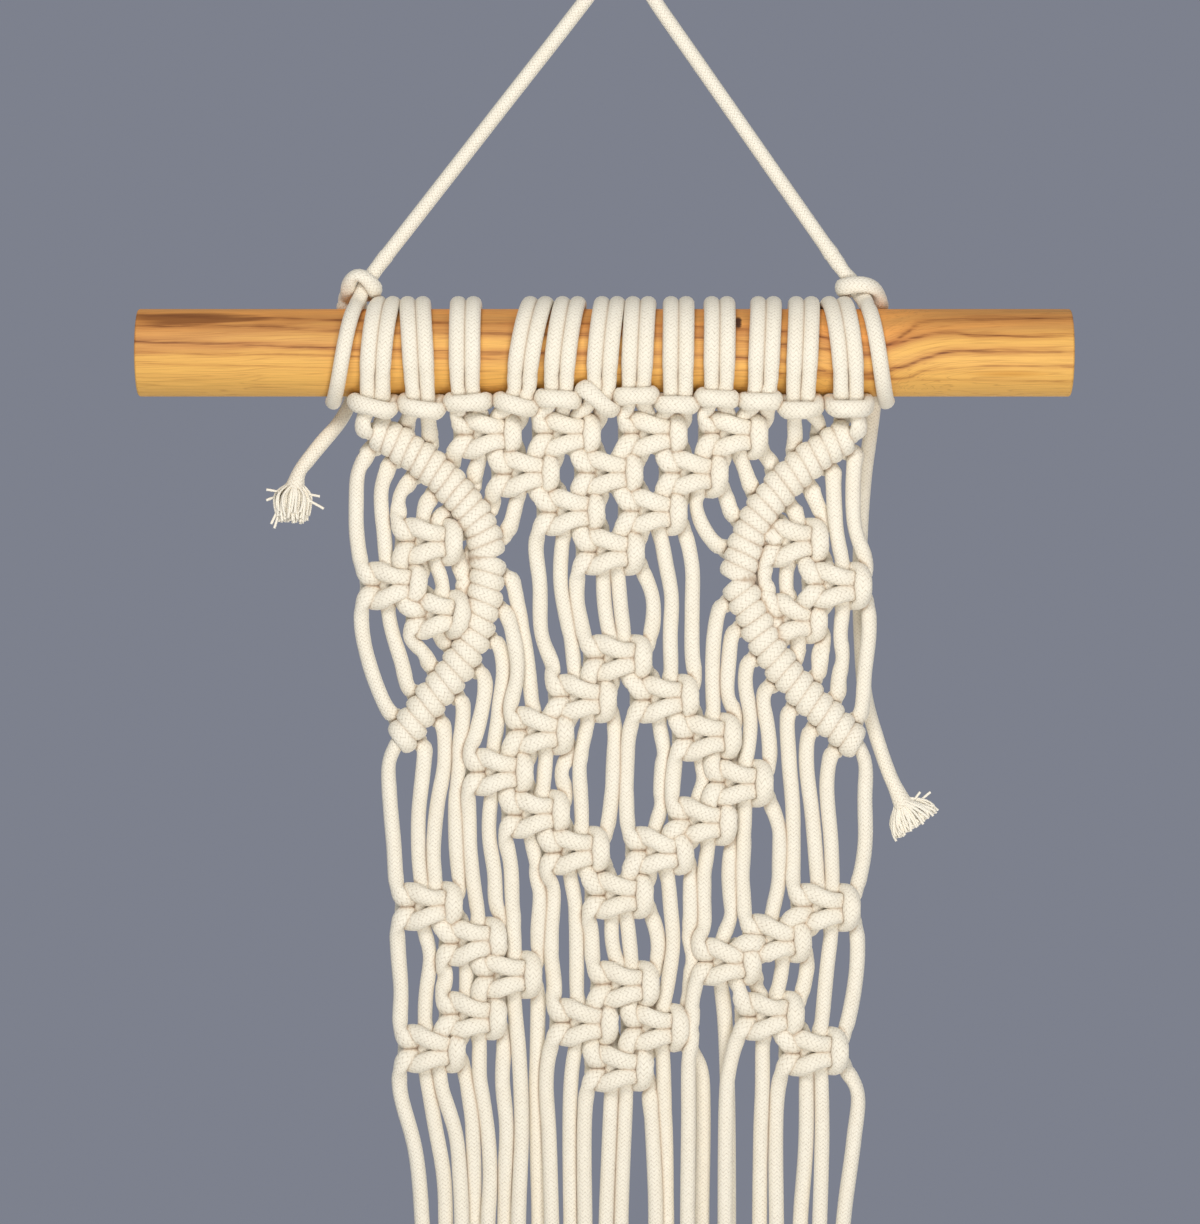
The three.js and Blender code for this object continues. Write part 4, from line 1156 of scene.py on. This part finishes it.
# Light and floor, in metres and watts
SKY = (0.9, 0.95, 1.0, 1.0)
SKY_STRENGTH = 0.3
BACKDROP = (0.205, 0.219, 0.268, 1.0)
FLOOR_RADIUS = 0.9
FLOOR_Z = -0.66
FLOOR_SIDES = 96
FLOOR_COLOUR = (0.75, 0.74, 0.72, 1.0)
FLOOR_ROUGHNESS = 0.9
# Lights: name, place, size, power and colour
LIGHTS = [
    ("key", (-0.3, -1.25, 0.6), 0.6, 11.2, (1.0, 0.98, 0.95)),
    ("fill", (0.3, -1.25, -0.62), 0.6, 11.4, (1.0, 0.985, 0.96)),
    ("back", (0.3, 1.1, -0.3), 0.8, 7.0, (1.0, 1.0, 1.0)),
]
LIGHT_AIM = (0.0, 0.0, -0.28)


def make_world():
    world = bpy.data.worlds.new("studio")
    bpy.context.scene.world = world
    world.use_nodes = True
    nodes, links = world.node_tree.nodes, world.node_tree.links
    light = nodes["Background"]
    light.inputs["Color"].default_value = SKY
    light.inputs["Strength"].default_value = SKY_STRENGTH
    backdrop = nodes.new("ShaderNodeBackground")
    backdrop.inputs["Color"].default_value = BACKDROP
    path = nodes.new("ShaderNodeLightPath")
    choice = nodes.new("ShaderNodeMixShader")
    links.new(path.outputs["Is Camera Ray"], choice.inputs[0])
    links.new(light.outputs[0], choice.inputs[1])
    links.new(backdrop.outputs[0], choice.inputs[2])
    links.new(choice.outputs[0], nodes["World Output"].inputs["Surface"])


def make_lights():
    for name, place, size, power, colour in LIGHTS:
        lamp = bpy.data.lights.new(name, "AREA")
        lamp.size = size
        lamp.energy = power
        lamp.color = colour
        holder = bpy.data.objects.new(name, lamp)
        bpy.context.scene.collection.objects.link(holder)
        holder.location = place
        holder.visible_glossy = name != "back"
        aim = Vector(LIGHT_AIM) - Vector(place)
        holder.rotation_euler = aim.to_track_quat("-Z", "Y").to_euler()


def make_floor():
    bpy.ops.object.select_all(action="DESELECT")
    bpy.ops.mesh.primitive_circle_add(
        vertices=FLOOR_SIDES, radius=FLOOR_RADIUS, fill_type="NGON", location=(0, 0, FLOOR_Z),
    )
    floor = bpy.context.object
    floor.name = "floor"
    finish = Finish("pale_floor", Base_Color=FLOOR_COLOUR, Roughness=FLOOR_ROUGHNESS)
    floor.data.materials.append(finish.material)


def finish_piece(piece, slot, *nodes):
    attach(piece, "root")
    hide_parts(*nodes)


def main():
    rng = np.random.default_rng(SEED)
    bpy.context.scene.view_settings.view_transform = "Standard"
    make_camera()
    cotton = cotton_cord()

    # All the cords as drawn, and what of the hanging cord stays on its route
    drawn = [smooth_path(net_cord(number, rng)) for number in range(len(HEADING))]
    fixed = [kept_points(path, number) for number, path in enumerate(drawn)]
    stretches = [
        ("left_tail", smooth_path(tail_points(TAIL_LEFT_ROUTE))[::-1], True),
        ("left_hitch", smooth_path(rod_hitch(HITCH_LEFT_LEG, HITCH_LEFT_LOOP, HITCH_LEFT_WRAP))[::-1], False),
        ("hanging_cord", smooth_path(hanging_points()), True),
        ("right_hitch", smooth_path(rod_hitch(HITCH_RIGHT_LEG, HITCH_RIGHT_LOOP, HITCH_RIGHT_WRAP)), False),
        ("right_tail", smooth_path(tail_points(TAIL_RIGHT_ROUTE)), True),
    ]
    drawn.append(np.vstack([path for _, path, _ in stretches]))
    fixed.append(np.concatenate([np.full(len(path), keep) for _, path, keep in stretches]))
    tied = tighten(drawn, fixed)
    points = np.vstack(tied)
    pairs = near_pairs(points, *numbered(tied))
    pairs = np.vstack([pairs, pairs[:, ::-1]])
    starts = np.cumsum([0] + [len(path) for path in tied])

    # How much painted shade each vertex of a tube gets
    def painted_shade_of(tube, first):
        rings = tube[0][:-2].reshape(-1, CORD_SIDES, 3)
        return np.append(nearness(rings, first, points, pairs).ravel(), (0.0, 0.0))

    # Net in three pieces
    for i, name in enumerate(NET_PIECES):
        cords = range(CORDS_PER_PIECE * i, CORDS_PER_PIECE * (i + 1))
        parts = [tube_parts(tied[n], NET_RADIUS, CORD_SIDES) for n in cords]
        painted_shade_parts = [painted_shade_of(part, starts[n]) for part, n in zip(parts, cords)]
        finish_piece(joined_mesh(name, parts, cotton, painted_shade_parts), "cotton_cord", "macrame_panel")

    # Hanging cord with its knots and tails
    ends = np.cumsum([len(path) for _, path, _ in stretches])
    side, other = cord_frames(tied[-1])
    pieces = {}
    reach = 0.0
    for (name, path, _), end in zip(stretches, ends):
        rows = slice(end - len(path), end + 1)
        line = tied[-1][rows]
        tube = tube_parts(line, CORD / 2 * flare_of(name, line), CORD_SIDES, reach, (side[rows], other[rows]))
        painted_shade_parts = [painted_shade_of(tube, starts[-2] + end - len(path))]
        piece = joined_mesh(name, [tube], cotton, painted_shade_parts)
        reach += length_of(line)
        finish_piece(piece, "cotton_cord", HANGING_NODES[name])
        pieces[name] = (piece, line * MM)

    # Frayed ends of the tails
    yarn = cotton_yarn()
    left_line = pieces["left_tail"][1][::-1] / MM
    right_line = pieces["right_tail"][1] / MM
    for name, line, node in (("left_tuft", left_line, "fray_left"), ("right_tuft", right_line, "fray_right")):
        tuft = joined_mesh(name, tuft_parts(line, TUFTS[name], rng), yarn)
        finish_piece(tuft, "cotton_cord", node)
        pieces[name] = (tuft, line)

    finish_piece(make_rod(stained_wood()), "wood", "rod")
    make_world()
    make_lights()
    make_floor()
    declare_cords(pieces)


def flare_of(name, line):
    """How far the hanging cord opens at each point: only the tails' ends do."""
    if not name.endswith("tail"):
        return np.ones(len(line))
    end = line[0] if name == "left_tail" else line[-1]
    near = np.clip(1 - np.linalg.norm(line - end, axis=1) / TAIL_FLARE_REACH, 0, 1)
    return 1 + TAIL_FLARE * near ** 2


def length_of(line):
    return float(np.linalg.norm(np.diff(line, axis=0), axis=1).sum())


def declare_cords(pieces):
    piece, line = pieces["hanging_cord"]
    for name, tuft in (("left_tail", "left_tuft"), ("right_tail", "right_tuft")):
        piece, line = pieces[name]
        if name == "left_tail":
            line = line[::-1]


main()
